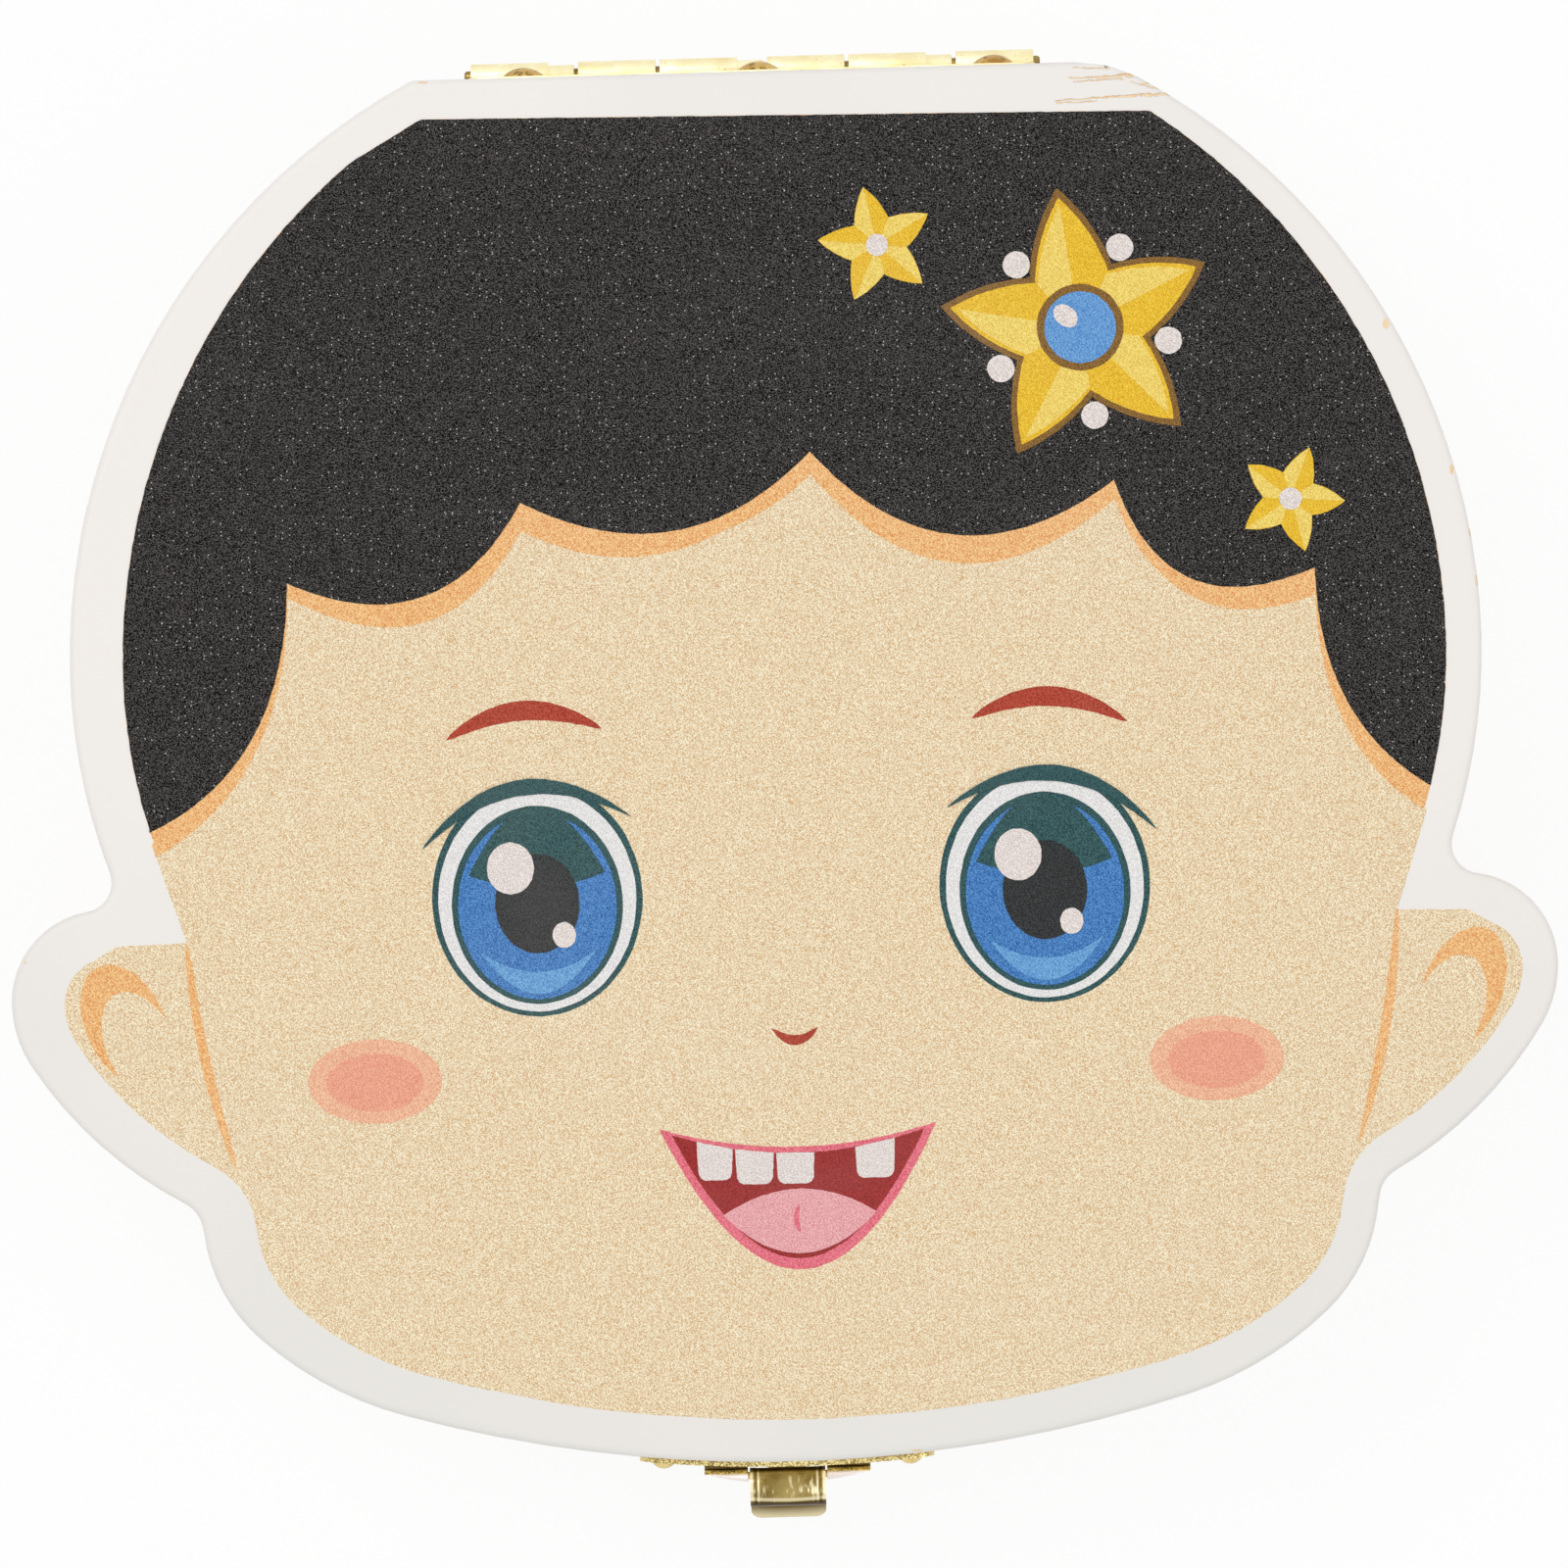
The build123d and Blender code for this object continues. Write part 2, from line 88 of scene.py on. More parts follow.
def linear(colour: Rgb) -> tuple[float, float, float, float]:
    """Turns a screen colour into the linear one that shaders take.

    Args:
        colour: Red, green and blue, each from 0 to 255.

    Returns:
        The linear colour with full opacity.
    """
    shares = (level / 255 for level in colour)
    knee, slope, offset, power = 0.04045, 12.92, 0.055, 2.4
    return (
        *(s / slope if s <= knee else ((s + offset) / (1 + offset)) ** power for s in shares),
        1.0,
    )


class Shade:
    """A node tree written from top to bottom: each method adds nodes and gives their output."""

    def __init__(self, home: bpy.types.Material | bpy.types.World) -> None:
        """Empties a node tree, to write it anew.

        Args:
            home: The material or the world that it belongs to.
        """
        home.use_nodes = True
        self.tree = home.node_tree
        self.tree.nodes.clear()

    def add(self, kind: str, feeds: Mapping[str | int, Feed], **settings: Feed) -> bpy.types.Node:
        """Adds a node.

        Args:
            kind: The node's type.
            feeds: A value or an output for each input socket, by name or number.
            settings: The node's own options.

        Returns:
            The new node.
        """
        node = self.tree.nodes.new(kind)
        for name, value in settings.items():
            setattr(node, name, value)
        for name, value in feeds.items():
            if isinstance(value, bpy.types.NodeSocket):
                self.tree.links.new(value, node.inputs[name])
            else:
                node.inputs[name].default_value = value
        return node

    def millimetres(
        self, stretch: Sequence[float] = (1, 1, 1), middle: Point = (0, 0), turn: float = 0.0
    ) -> Feed:
        """The place on the piece in millimetres, stretched for a pattern that has a direction.

        Args:
            stretch: Factors for X, Y and Z.
            middle: The place across and along that becomes zero.
            turn: How far the pattern is turned to the left, in degrees.

        Returns:
            The vector output.
        """
        feeds = {
            "Vector": self.add("ShaderNodeTexCoord", {}).outputs["Object"],
            "Location": (middle[0] * MM, middle[1] * MM, 0),
            "Rotation": (0, 0, math.radians(turn)),
            "Scale": [MM / factor for factor in stretch],
        }
        return self.add("ShaderNodeMapping", feeds, vector_type="TEXTURE").outputs["Vector"]

    def facing(self) -> tuple[Feed, Feed, Feed]:
        """The way the surface faces on the piece itself, however the piece is turned."""
        return self.split(self.add("ShaderNodeTexCoord", {}).outputs["Normal"])

    def split(self, vector: Feed) -> tuple[Feed, Feed, Feed]:
        """The three parts of a vector."""
        parts = self.add("ShaderNodeSeparateXYZ", {"Vector": vector}).outputs
        return parts["X"], parts["Y"], parts["Z"]

    def join(self, x: Feed, y: Feed, z: Feed) -> Feed:
        """A vector of three parts."""
        return self.add("ShaderNodeCombineXYZ", {"X": x, "Y": y, "Z": z}).outputs[0]

    def noise(
        self, place: Feed, scale: float, detail: float = 2.0, distortion: float = 0.0
    ) -> Feed:
        """Soft noise from 0 to 1.

        Args:
            place: The vector it is read at.
            scale: Patches in one unit of that vector.
            detail: How many finer layers it has.
            distortion: How much it is swirled.

        Returns:
            The value output.
        """
        feeds = {"Vector": place, "Scale": scale, "Detail": detail, "Distortion": distortion}
        return self.add("ShaderNodeTexNoise", feeds).outputs["Fac"]

    def grain(self, patches: Sequence[float], detail: float = 2.0) -> Feed:
        """Soft noise from 0 to 1, with so many patches to a millimetre along X, Y and Z."""
        return self.noise(self.millimetres(patches), 1.0, detail)

    def ripple(self, place: Feed, pitch: float) -> Feed:
        """Fine winding lines.

        Args:
            place: The place on the piece in millimetres.
            pitch: From one line to the next.

        Returns:
            The value output, from 0 to 1.
        """
        lines_per_unit = 20 / (2 * math.pi)
        feeds = {
            "Vector": place, "Scale": 1 / (pitch * lines_per_unit), "Distortion": 7.0,
            "Detail": 0.0, "Detail Scale": 2.6,
        }
        return self.add("ShaderNodeTexWave", feeds).outputs["Fac"]

    def specks(
        self, place: Feed, spacing: float, radius: float, share: float, kind: str = "3D"
    ) -> Feed:
        """Small dots strewn at random.

        Args:
            place: The place on the piece in millimetres.
            spacing: About how far apart the dots can be.
            radius: The largest radius of a dot.
            share: The share of the places for a dot that hold one.
            kind: 3D for dots all over a solid, 2D for dots on a flat sheet.

        Returns:
            The value output, 1 on a dot.
        """
        feeds = {"Vector": place, "Scale": 1 / spacing}
        cells = self.add("ShaderNodeTexVoronoi", feeds, voronoi_dimensions=kind).outputs
        chance = self.split(cells["Color"])[0]
        near = self.span(cells["Distance"], radius / spacing, 0.5 * radius / spacing)
        return self.times(near, self.maths("LESS_THAN", chance, share))

    def span(self, value: Feed, low: float, high: float, to: Point = (0, 1)) -> Feed:
        """Maps a value from one range to another, and holds it at the ends.

        Args:
            value: The output to map.
            low: The value that gives the first end.
            high: The value that gives the second end.
            to: The two ends.

        Returns:
            The mapped output.
        """
        feeds = {"Value": value, "From Min": low, "From Max": high}
        feeds |= {"To Min": to[0], "To Max": to[1]}
        return self.add("ShaderNodeMapRange", feeds).outputs["Result"]

    def band(self, value: Feed, low: float, high: float, soft: float) -> Feed:
        """1 where a value lies between two limits, with soft ends."""
        rise = self.span(value, low - soft, low + soft)
        return self.times(rise, self.span(value, high + soft, high - soft))

    def maths(self, kind: str, first: Feed, second: Feed = 0.0) -> Feed:
        """The result of a math node of that kind."""
        return self.add("ShaderNodeMath", {0: first, 1: second}, operation=kind).outputs[0]

    def times(self, *factors: Feed) -> Feed:
        """The product of all the values."""
        return reduce(lambda first, second: self.maths("MULTIPLY", first, second), factors)

    def plus(self, *terms: Feed) -> Feed:
        """The sum of all the values."""
        return reduce(lambda first, second: self.maths("ADD", first, second), terms)

    def minus(self, first: Feed, second: Feed) -> Feed:
        """What is left of the first value without the second."""
        return self.maths("SUBTRACT", first, second)

    def mix(self, share: Feed, first: Feed, second: Feed) -> Feed:
        """A colour between two colours.

        Args:
            share: 0 for the first, 1 for the second.
            first: An output, or a screen colour.
            second: An output, or a screen colour.

        Returns:
            The colour output.
        """
        pair = [c if isinstance(c, bpy.types.NodeSocket) else linear(c) for c in (first, second)]
        feeds = {0: share, 6: pair[0], 7: pair[1]}
        return self.add("ShaderNodeMix", feeds, data_type="RGBA").outputs[2]

    def bump(self, height: Feed, depth: float, under: Feed | None = None) -> Feed:
        """Relief of a depth in millimetres.

        Args:
            height: The height, from 0 to 1.
            depth: How high 1 is.
            under: The normal of relief below this one.

        Returns:
            The normal output.
        """
        feeds = {"Height": height, "Distance": depth * MM}
        if under is not None:
            feeds["Normal"] = under
        return self.add("ShaderNodeBump", feeds).outputs["Normal"]

    def surface(self, **sockets: Feed) -> None:
        """Ends the tree with a principled shader.

        Args:
            sockets: Its sockets, with underscores for the spaces in their names.
        """
        feeds = {name.replace("_", " "): value for name, value in sockets.items()}
        shader = self.add("ShaderNodeBsdfPrincipled", feeds)
        self.add("ShaderNodeOutputMaterial", {"Surface": shader.outputs["BSDF"]})


@dataclass(frozen=True)
class Finish:
    """A finish: its material is made once, when a piece first asks for it."""

    name: str

    def material(self) -> bpy.types.Material:
        """The finish as a material.

        Returns:
            The material, the same one for every piece.
        """
        found = bpy.data.materials.get(self.name)
        if found is None:
            found = bpy.data.materials.new(self.name)
            self.paint(Shade(found))
        return found

    def paint(self, shade: Shade) -> None:
        """Writes the finish into an empty material."""
        raise NotImplementedError


@dataclass(frozen=True)
class Ink(Finish):
    """Ink printed straight on the lid, broken up by the fine tooth of the board."""

    dark: Rgb
    light: Rgb
    tooth: float = 13.5
    ripple: float = 0.24
    ripple_share: float = 0.1
    crisp: float = 0.13
    lean: float = 38.0
    skew: float = 1.0
    glints: float = 0.0
    glint: Rgb = (214, 214, 212)
    glint_spacing: float = 0.55
    glint_radius: float = 0.06
    scuff: float = 0.05
    scuffed: Rgb = (246, 240, 232)
    gloss: float = 0.2
    relief: float = 0.01

    def paint(self, shade: Shade) -> None:
        """Writes the ink: fine leaning tooth, rare glints and slow cloudy wear.

        Args:
            shade: The material being written.
        """
        place = shade.millimetres((1, 0.8, 1), turn=self.lean)
        grain = shade.plus(
            shade.times(shade.ripple(place, self.ripple), self.ripple_share),
            shade.times(shade.noise(place, self.tooth, 0.0, 0.8), 1 - self.ripple_share),
        )
        tone = shade.span(grain, 0.5 - self.crisp, 0.5 + self.crisp)
        tone = shade.maths("POWER", tone, self.skew)
        colour = shade.mix(tone, self.dark, self.light)
        cloud = shade.noise(shade.millimetres((0.6, 1, 1)), 0.06, 4.0)
        worn = shade.span(cloud, 0.5, 0.8, (0, self.scuff))
        colour = shade.mix(worn, colour, self.scuffed)
        if self.glints:
            flat = shade.millimetres()
            dots = shade.specks(flat, self.glint_spacing, self.glint_radius, self.glints, "2D")
            colour = shade.mix(dots, colour, self.glint)
        rough = shade.span(grain, 0.3, 0.7, (0.66, 0.5))
        normal = shade.bump(grain, self.relief)
        shade.surface(
            Base_Color=colour, Roughness=rough, Specular_IOR_Level=self.gloss, Normal=normal
        )


@dataclass(frozen=True)
class Wood(Finish):
    """Pale wood with its grain along X, so that the ends of boards show end grain."""

    pale: Rgb = (236, 210, 166)
    dark: Rgb = (208, 170, 118)
    pore: Rgb = (158, 116, 72)
    ply: tuple[Rgb, Rgb] = ((198, 156, 106), (160, 116, 72))
    glue: Rgb = (116, 78, 44)
    tool_mark: Rgb = (150, 108, 66)
    # Char from a laser; also the colour of the painted shade in the joints.
    char: Rgb = (84, 52, 30)
    warp_grain: Sequence[float] = (0.012, 0.05, 0.05)
    fibre_grain: Sequence[float] = (0.07, 3.0, 3.0)
    fleck_grain: Sequence[float] = (0.25, 7.0, 7.0)
    slow_grain: Sequence[float] = (0.02, 0.06, 0.06)
    ply_grain: Sequence[float] = (2.6, 2.6, 0.5)
    tool_grain: Sequence[float] = (1.7, 1.7, 0.04)
    heart: Point = (18.0, -60.0)
    ring_pitch: float = 2.9
    ring_wander: float = 3.2
    late_share: float = 0.42
    fibre_share: float = 0.42
    slow_shares: Point = (-0.12, 0.16)
    fleck_share: float = 0.4
    late_relief: float = 0.25
    burnt: float = 0.0
    plies: Sequence[Point] = ()
    glue_half: float = 0.04
    # Heights of the joints whose seams get painted shade on the walls.
    joints: Sequence[float] = ()
    joint_half: float = 0.26
    joint_shade_share: float = 0.82
    glue_share: float = 0.6
    tool_share: float = 0.16
    relief: float = 0.05
    sheen: float = 0.35

    def timber(self, shade: Shade) -> tuple[Feed, Feed]:
        """Writes the bare wood.

        Args:
            shade: The material being written.

        Returns:
            The colour and the height of the grain.
        """
        warp = shade.grain(self.warp_grain)
        _, y, z = shade.split(shade.millimetres((1, 1, 1), (0, self.heart[1])))
        up = shade.plus(z, self.heart[0])
        square = shade.plus(shade.times(y, y), shade.times(up, up))
        wander = shade.times(warp, self.ring_wander * self.ring_pitch)
        reach = shade.plus(shade.maths("SQRT", square), wander)
        ring = shade.maths("FRACT", shade.times(reach, 1 / self.ring_pitch))
        late = shade.times(shade.span(ring, 0.25, 0.86), shade.span(ring, 1.0, 0.9))
        fibre = shade.grain(self.fibre_grain, 4.0)
        fleck = shade.grain(self.fleck_grain)
        slow = shade.grain(self.slow_grain)
        tone = shade.plus(
            shade.times(late, self.late_share),
            shade.span(fibre, 0.32, 0.7, (0, self.fibre_share)),
            shade.span(slow, 0.35, 0.65, self.slow_shares),
        )
        colour = shade.mix(tone, self.pale, self.dark)
        pores = shade.span(fleck, 0.61, 0.72, (0, self.fleck_share))
        colour = shade.mix(pores, colour, self.pore)
        return colour, shade.plus(fibre, shade.times(late, self.late_relief))

    def edges(self, shade: Shade, colour: Feed) -> Feed:
        """Adds what a cut wall shows: plies, tool marks, a dark seam of painted shade at each
        joint, and char from a laser.

        Args:
            shade: The material being written.
            colour: The bare wood.

        Returns:
            The colour with its edges.
        """
        level = shade.maths("ABSOLUTE", shade.facing()[2])
        wall = shade.span(level, 0.75, 0.35)
        height = shade.split(shade.millimetres())[2]
        # Painted shade in the groove where the two halves meet: a dark seam on the walls at each
        # joint, in the colour of char.
        for joint in self.joints:
            joint_shade = shade.band(height, joint - self.joint_half, joint + self.joint_half, 0.05)
            joint_shade = shade.times(joint_shade, shade.span(level, 0.99, 0.95, (0, self.joint_shade_share)))
            colour = shade.mix(joint_shade, colour, self.char)
        for low, high in self.plies:
            ply = shade.band(height, low, high, self.glue_half)
            cross = shade.grain(self.ply_grain, 3.0)
            tint = shade.mix(shade.span(cross, 0.35, 0.65), *self.ply)
            colour = shade.mix(shade.times(ply, wall), colour, tint)
            for line in (low, high):
                glue = shade.band(height, line - self.glue_half, line + self.glue_half, 0.03)
                colour = shade.mix(shade.times(glue, wall, self.glue_share), colour, self.glue)
        chatter = shade.grain(self.tool_grain)
        marks = shade.times(shade.span(chatter, 0.5, 0.72, (0, self.tool_share)), wall)
        colour = shade.mix(marks, colour, self.tool_mark)
        if self.burnt:
            patchy = shade.noise(shade.millimetres((1, 1, 0.15)), 0.9, 3.0)
            char = shade.span(patchy, 0.2, 0.8, (0.6 * self.burnt, self.burnt))
            colour = shade.mix(shade.times(char, wall), colour, self.char)
        return colour

    def paint(self, shade: Shade) -> None:
        """Writes the wood and its cut edges.

        Args:
            shade: The material being written.
        """
        colour, fibre = self.timber(shade)
        colour = self.edges(shade, colour)
        rough = shade.span(fibre, 0.3, 0.9, (0.58, 0.74))
        normal = shade.bump(fibre, self.relief)
        shade.surface(
            Base_Color=colour, Roughness=rough, Specular_IOR_Level=self.sheen, Normal=normal
        )


@dataclass(frozen=True)
class Streak:
    """A long bare streak, where the paint came off along the grain."""

    start: Point
    end: Point
    thin: float
    thick: float


@dataclass(frozen=True)
class Paint(Wood):
    """Off-white paint on the flat outside of a board, worn to the wood in a few places."""

    coat: Rgb = (244, 238, 232)
    # The coat in painted shade.
    shadow_coat: Rgb = (236, 232, 225)
    speck: Rgb = (132, 116, 98)
    bare: tuple[Rgb, Rgb] = ((254, 230, 190), (248, 208, 154))
    bare_edge: Rgb = (204, 152, 116)
    speck_spacing: float = 2.6
    speck_radius: float = 0.1
    speck_chance: float = 0.22
    speck_share: float = 0.6
    streak_grain: Sequence[float] = (2.6, 8.0, 1.0)
    streak_waver: float = 0.13
    streak_brown: float = 0.65
    face_z: float = 30.0
    coat_depth: float = 0.75
    coat_edge: float = 0.08
    patch_rise: float = 0.3
    nibble_rise: Point = (-0.16, 0.2)
    coat_relief: float = 0.03
    coat_grain: float = 0.01
    streaks: Sequence[Streak] = ()
    spots: Sequence[Spot] = ()

    def disc(self, shade: Shade, x: Feed, y: Feed, at: Point, reach: Point) -> Feed:
        """A soft oval.

        Args:
            shade: The material being written.
            x: The place across the lid.
            y: The place along it.
            at: The oval's middle.
            reach: Its two radii.

        Returns:
            1 in its middle, and 0 at its radii and past them.
        """
        across = shade.maths("DIVIDE", shade.minus(x, at[0]), reach[0])
        along = shade.maths("DIVIDE", shade.minus(y, at[1]), reach[1])
        square = shade.plus(shade.times(across, across), shade.times(along, along))
        return shade.span(square, 1.0, 0.0)

    def stripe(self, shade: Shade, x: Feed, y: Feed, streak: Streak) -> tuple[Feed, Feed]:
        """One bare streak, ragged along its edges and broken at its thin end.

        Args:
            shade: The material being written.
            x: The place across the lid.
            y: The place along it.
            streak: The streak.

        Returns:
            Where it is bare, and how near that place is to the streak's upper edge.
        """
        (x0, y0), (x1, y1) = streak.start, streak.end
        part = shade.span(x, x0, x1)
        line = shade.join(x, y0, 0.0)
        wave = shade.span(
            shade.noise(line, 0.4, 3.0), 0.3, 0.7, (-self.streak_waver, self.streak_waver)
        )
        ragged = shade.grain(self.streak_grain, 3.0)
        middle = shade.plus(shade.times(part, y1 - y0), y0, wave)
        grown = shade.span(part, 0.25, 1.0, (streak.thin, streak.thick))
        half = shade.times(grown, shade.span(ragged, 0.35, 0.65, (0.25, 1.5)))
        across = shade.maths("DIVIDE", shade.minus(y, middle), half)
        bare = shade.span(shade.maths("ABSOLUTE", across), 1.05, 0.85)
        bare = shade.times(bare, shade.band(x, x0, x1, 0.1))
        return bare, shade.span(across, -0.1, 0.75)

    def paint(self, shade: Shade) -> None:
        """Writes the coat over the timber, with painted shade towards the front, streaks, spots
        and specks.

        Args:
            shade: The material being written.
        """
        timber, fibre = self.timber(shade)
        timber = self.edges(shade, timber)
        x, y, z = shade.split(shade.millimetres())
        # Random patches of tone, and painted shade that grows towards the front of the lid.
        slow = shade.plus(shade.noise(shade.millimetres(), 0.025, 2.0), shade.times(y, -0.0035))
        coat = shade.mix(shade.span(slow, 0.4, 0.75), self.coat, self.shadow_coat)
        specks = shade.specks(
            shade.millimetres(), self.speck_spacing, self.speck_radius, self.speck_chance
        )
        coat = shade.mix(shade.times(specks, self.speck_share), coat, self.speck)
        face = shade.span(shade.facing()[2], 0.02, 0.2)
        depth = shade.minus(self.face_z, z)
        patch = shade.noise(shade.millimetres((1, 1, 0.3)), 0.11, 2.0)
        nibble = shade.noise(shade.millimetres(), 1.3, 3.0)
        rim = shade.plus(
            depth,
            shade.span(patch, 0.6, 0.7, (0, self.patch_rise)),
            shade.span(nibble, 0.3, 0.7, self.nibble_rise),
        )
        kept = shade.span(rim, self.coat_depth, self.coat_depth - self.coat_edge)
        bare_colour = shade.mix(shade.span(nibble, 0.35, 0.7), *self.bare)
        for streak in self.streaks:
            bare, upper = self.stripe(shade, x, y, streak)
            kept = shade.maths("MINIMUM", kept, shade.minus(1.0, bare))
            brown = shade.times(upper, bare, self.streak_brown)
            bare_colour = shade.mix(brown, bare_colour, self.bare_edge)
        torn = shade.span(nibble, 0.35, 0.65, (0, 0.5))
        for spot_x, spot_y, across, along in self.spots:
            spot = self.disc(shade, x, y, (spot_x, spot_y), (across, along))
            spot = shade.span(shade.minus(spot, torn), 0.0, 0.2)
            kept = shade.maths("MINIMUM", kept, shade.minus(1.0, spot))
        top = shade.span(shade.facing()[2], 0.3, 0.6)
        bare_colour = shade.mix(top, timber, bare_colour)
        kept = shade.times(kept, face)
        colour = shade.mix(kept, bare_colour, coat)
        rough = shade.span(kept, 0.0, 1.0, (0.7, 0.45))
        grain = shade.bump(fibre, self.coat_grain)
        normal = shade.bump(kept, self.coat_relief, grain)
        shade.surface(
            Base_Color=colour, Roughness=rough, Specular_IOR_Level=self.sheen, Normal=normal
        )


@dataclass(frozen=True)
class Brass(Finish):
    """Thin brass plating: brushed, faintly pitted, and browned where dirt gathers."""

    bright: Rgb = (255, 249, 220)
    deep: Rgb = (248, 232, 184)
    stain: Rgb = (142, 104, 48)
    pits: float = 0.3
    pit_spacing: float = 0.42
    pit_radius: float = 0.06
    grime: float = 0.12
    roughness: float = 0.3
    brush: Sequence[float] = (0.4, 4.0, 4.0)
    dirt_share: float = 0.7
    pit_share: float = 0.75
    roughness_spread: float = 0.14
    brush_depth: float = 0.006
    dents: float = 0.048

    def plating(self, shade: Shade) -> tuple[Feed, Feed]:
        """Writes the plating.

        Args:
            shade: The material being written.

        Returns:
            The colour and the brushing.
        """
        place = shade.millimetres()
        cloud = shade.noise(place, 0.45, 3.0)
        brushed = shade.grain(self.brush, 3.0)
        colour = shade.mix(shade.span(cloud, 0.36, 0.68), self.bright, self.deep)
        dirt = shade.noise(place, 1.6, 4.0)
        dirty = shade.span(dirt, 0.74 - self.grime, 0.84 - self.grime, (0, self.dirt_share))
        colour = shade.mix(dirty, colour, self.stain)
        pitted = shade.specks(place, self.pit_spacing, self.pit_radius, self.pits)
        return shade.mix(shade.times(pitted, self.pit_share), colour, self.stain), brushed

    def close(self, shade: Shade, colour: Feed, brushed: Feed) -> None:
        """Ends the material with the plating's relief and gloss.

        Args:
            shade: The material being written.
            colour: The plating's colour.
            brushed: The height of its brushing.
        """
        ends = (self.roughness, self.roughness + self.roughness_spread)
        rough = shade.span(brushed, 0.3, 0.7, ends)
        dented = shade.noise(shade.millimetres(), 0.8, 2.0)
        relief = shade.bump(brushed, self.brush_depth, shade.bump(dented, self.dents))
        shade.surface(Base_Color=colour, Metallic=1.0, Roughness=rough, Normal=relief)

    def paint(self, shade: Shade) -> None:
        """Writes the plating and closes it."""
        self.close(shade, *self.plating(shade))


@dataclass(frozen=True)
class PlateBrass(Brass):
    """The plating of the lid's latch plate: gritty edges, and wings whose tops get painted light.

    A painted shadow in the gap between the plate and its wings, and a pale painted reflection on
    the wings, are each given by where they start and where they are full, behind the plate's
    front.
    """

    front_y: float = -56.56
    wing_top_z: float = 16.95
    grit: tuple[Rgb, Rgb] = ((122, 98, 44), (250, 232, 164))
    grit_scale: float = 7.5
    grit_share: float = 0.8
    # Painted shadow in the gap between the plate and its wings.
    gap: Rgb = (78, 60, 28)
    gap_shadow_at: Point = (0.96, 1.02)
    # Pale painted reflection on the wings' tops.
    shine: Rgb = (240, 230, 228)
    shine_at: Point = (0.74, 0.64)
    wing_share: float = 0.9

    def paint(self, shade: Shade) -> None:
        """Writes the plating, the grit on the edges that face up, and painted light on the wings.

        Args:
            shade: The material being written.
        """
        colour, brushed = self.plating(shade)
        _, y, z = shade.split(shade.millimetres())
        up = shade.span(shade.facing()[2], 0.5, 0.8)
        grain = shade.span(shade.noise(shade.millimetres(), self.grit_scale, 1.0), 0.4, 0.6)
        gritty = shade.mix(grain, *self.grit)
        colour = shade.mix(shade.times(up, self.grit_share), colour, gritty)
        # Painted light on the wings' upward faces: a strip of painted shadow in the gap, then a
        # pale painted reflection.
        wing = shade.span(z, self.wing_top_z + 0.3, self.wing_top_z + 0.2)
        wing = shade.times(wing, shade.span(shade.facing()[2], 0.06, 0.22))
        for (near, far), tint in ((self.gap_shadow_at, self.gap), (self.shine_at, self.shine)):
            strip = shade.span(y, self.front_y + near, self.front_y + far)
            colour = shade.mix(shade.times(wing, strip, self.wing_share), colour, tint)
        self.close(shade, colour, brushed)


@dataclass(frozen=True)
class TongueBrass(Brass):
    """The plating of the latch's tongue, rubbed and scratched where a thumb snaps it.

    Its bends, sides and lip carry painted highlights and shadows. Its places are measured from
    the tongue's front end, its top and its middle.
    """

    front_y: float = -60.25
    top_z: float = 16.95
    middle_x: float = -0.9
    half_width: float = 3.1
    bend_bow: float = 0.16
    scratch_grain: Sequence[float] = (5.5, 0.9, 0.9)
    scuff_grain: Sequence[float] = (3.0, 0.5, 0.5)
    # The lip in painted shade near its bend and in painted light at its front end.
    lip_shaded: Rgb = (104, 86, 44)
    lip_lit: Rgb = (226, 212, 172)
    # Bright colour of real scratches and scuffs, and of the painted highlights.
    scratch_and_highlight: Rgb = (252, 240, 200)
    shadow: Rgb = (66, 50, 20)

    def paint(self, shade: Shade) -> None:
        """Writes the plating, scratches, and painted highlights and shadows on the bends, sides
        and lip.

        Args:
            shade: The material being written.
        """
        colour, brushed = self.plating(shade)
        x, y, z = shade.split(shade.millimetres((1, 1, 1), (self.middle_x, self.front_y)))
        share = shade.times(x, 1 / self.half_width)
        bowed_y = shade.minus(y, shade.times(share, share, self.bend_bow))
        high = shade.span(z, self.top_z - 2.4, self.top_z - 1.4)
        lines = shade.grain(self.scratch_grain)
        near = shade.band(y, 2.5, 3.1, 0.35)
        cuts = shade.times(shade.span(lines, 0.54, 0.64), near)
        colour = shade.mix(shade.times(cuts, 0.85), colour, self.scratch_and_highlight)
        loose = shade.grain(self.scuff_grain)
        colour = shade.mix(shade.span(loose, 0.66, 0.72, (0, 0.5)), colour, self.scratch_and_highlight)
        side = shade.maths("ABSOLUTE", share)
        way_y, way_z = shade.facing()[1:]
        # Faces turned forward, which get painted shade.
        turned = shade.times(shade.band(way_z, 0.12, 0.62, 0.1), shade.span(way_y, -0.3, -0.7))
        # Painted highlights and shadows near the top: a highlight along the bend; a highlight, a
        # dark line and a bright edge along each side; shade over the bend, at the back under the
        # plate, and on faces turned forward.
        for strip, strength, tint in (
            (shade.band(bowed_y, 1.98, 2.24, 0.06), 0.6, self.scratch_and_highlight),
            (shade.band(side, 0.76, 0.8, 0.02), 0.8, self.scratch_and_highlight),
            (shade.band(side, 0.84, 0.87, 0.02), 0.85, self.shadow),
            (shade.span(side, 0.9, 0.94), 0.75, self.scratch_and_highlight),
            (shade.span(bowed_y, 1.96, 1.88), 0.85, self.shadow),
            (shade.span(y, 4.42, 4.52), 0.85, self.shadow),
            (turned, 0.85, self.shadow),
        ):
            colour = shade.mix(shade.times(strip, high, strength), colour, tint)
        # The lip: painted shade near the bend, paling to painted light at its front end.
        lip = shade.mix(shade.span(bowed_y, 0.9, 0.1), self.lip_shaded, self.lip_lit)
        colour = shade.mix(shade.span(z, 9.0, 7.5, (0, 0.9)), colour, lip)
        self.close(shade, colour, brushed)


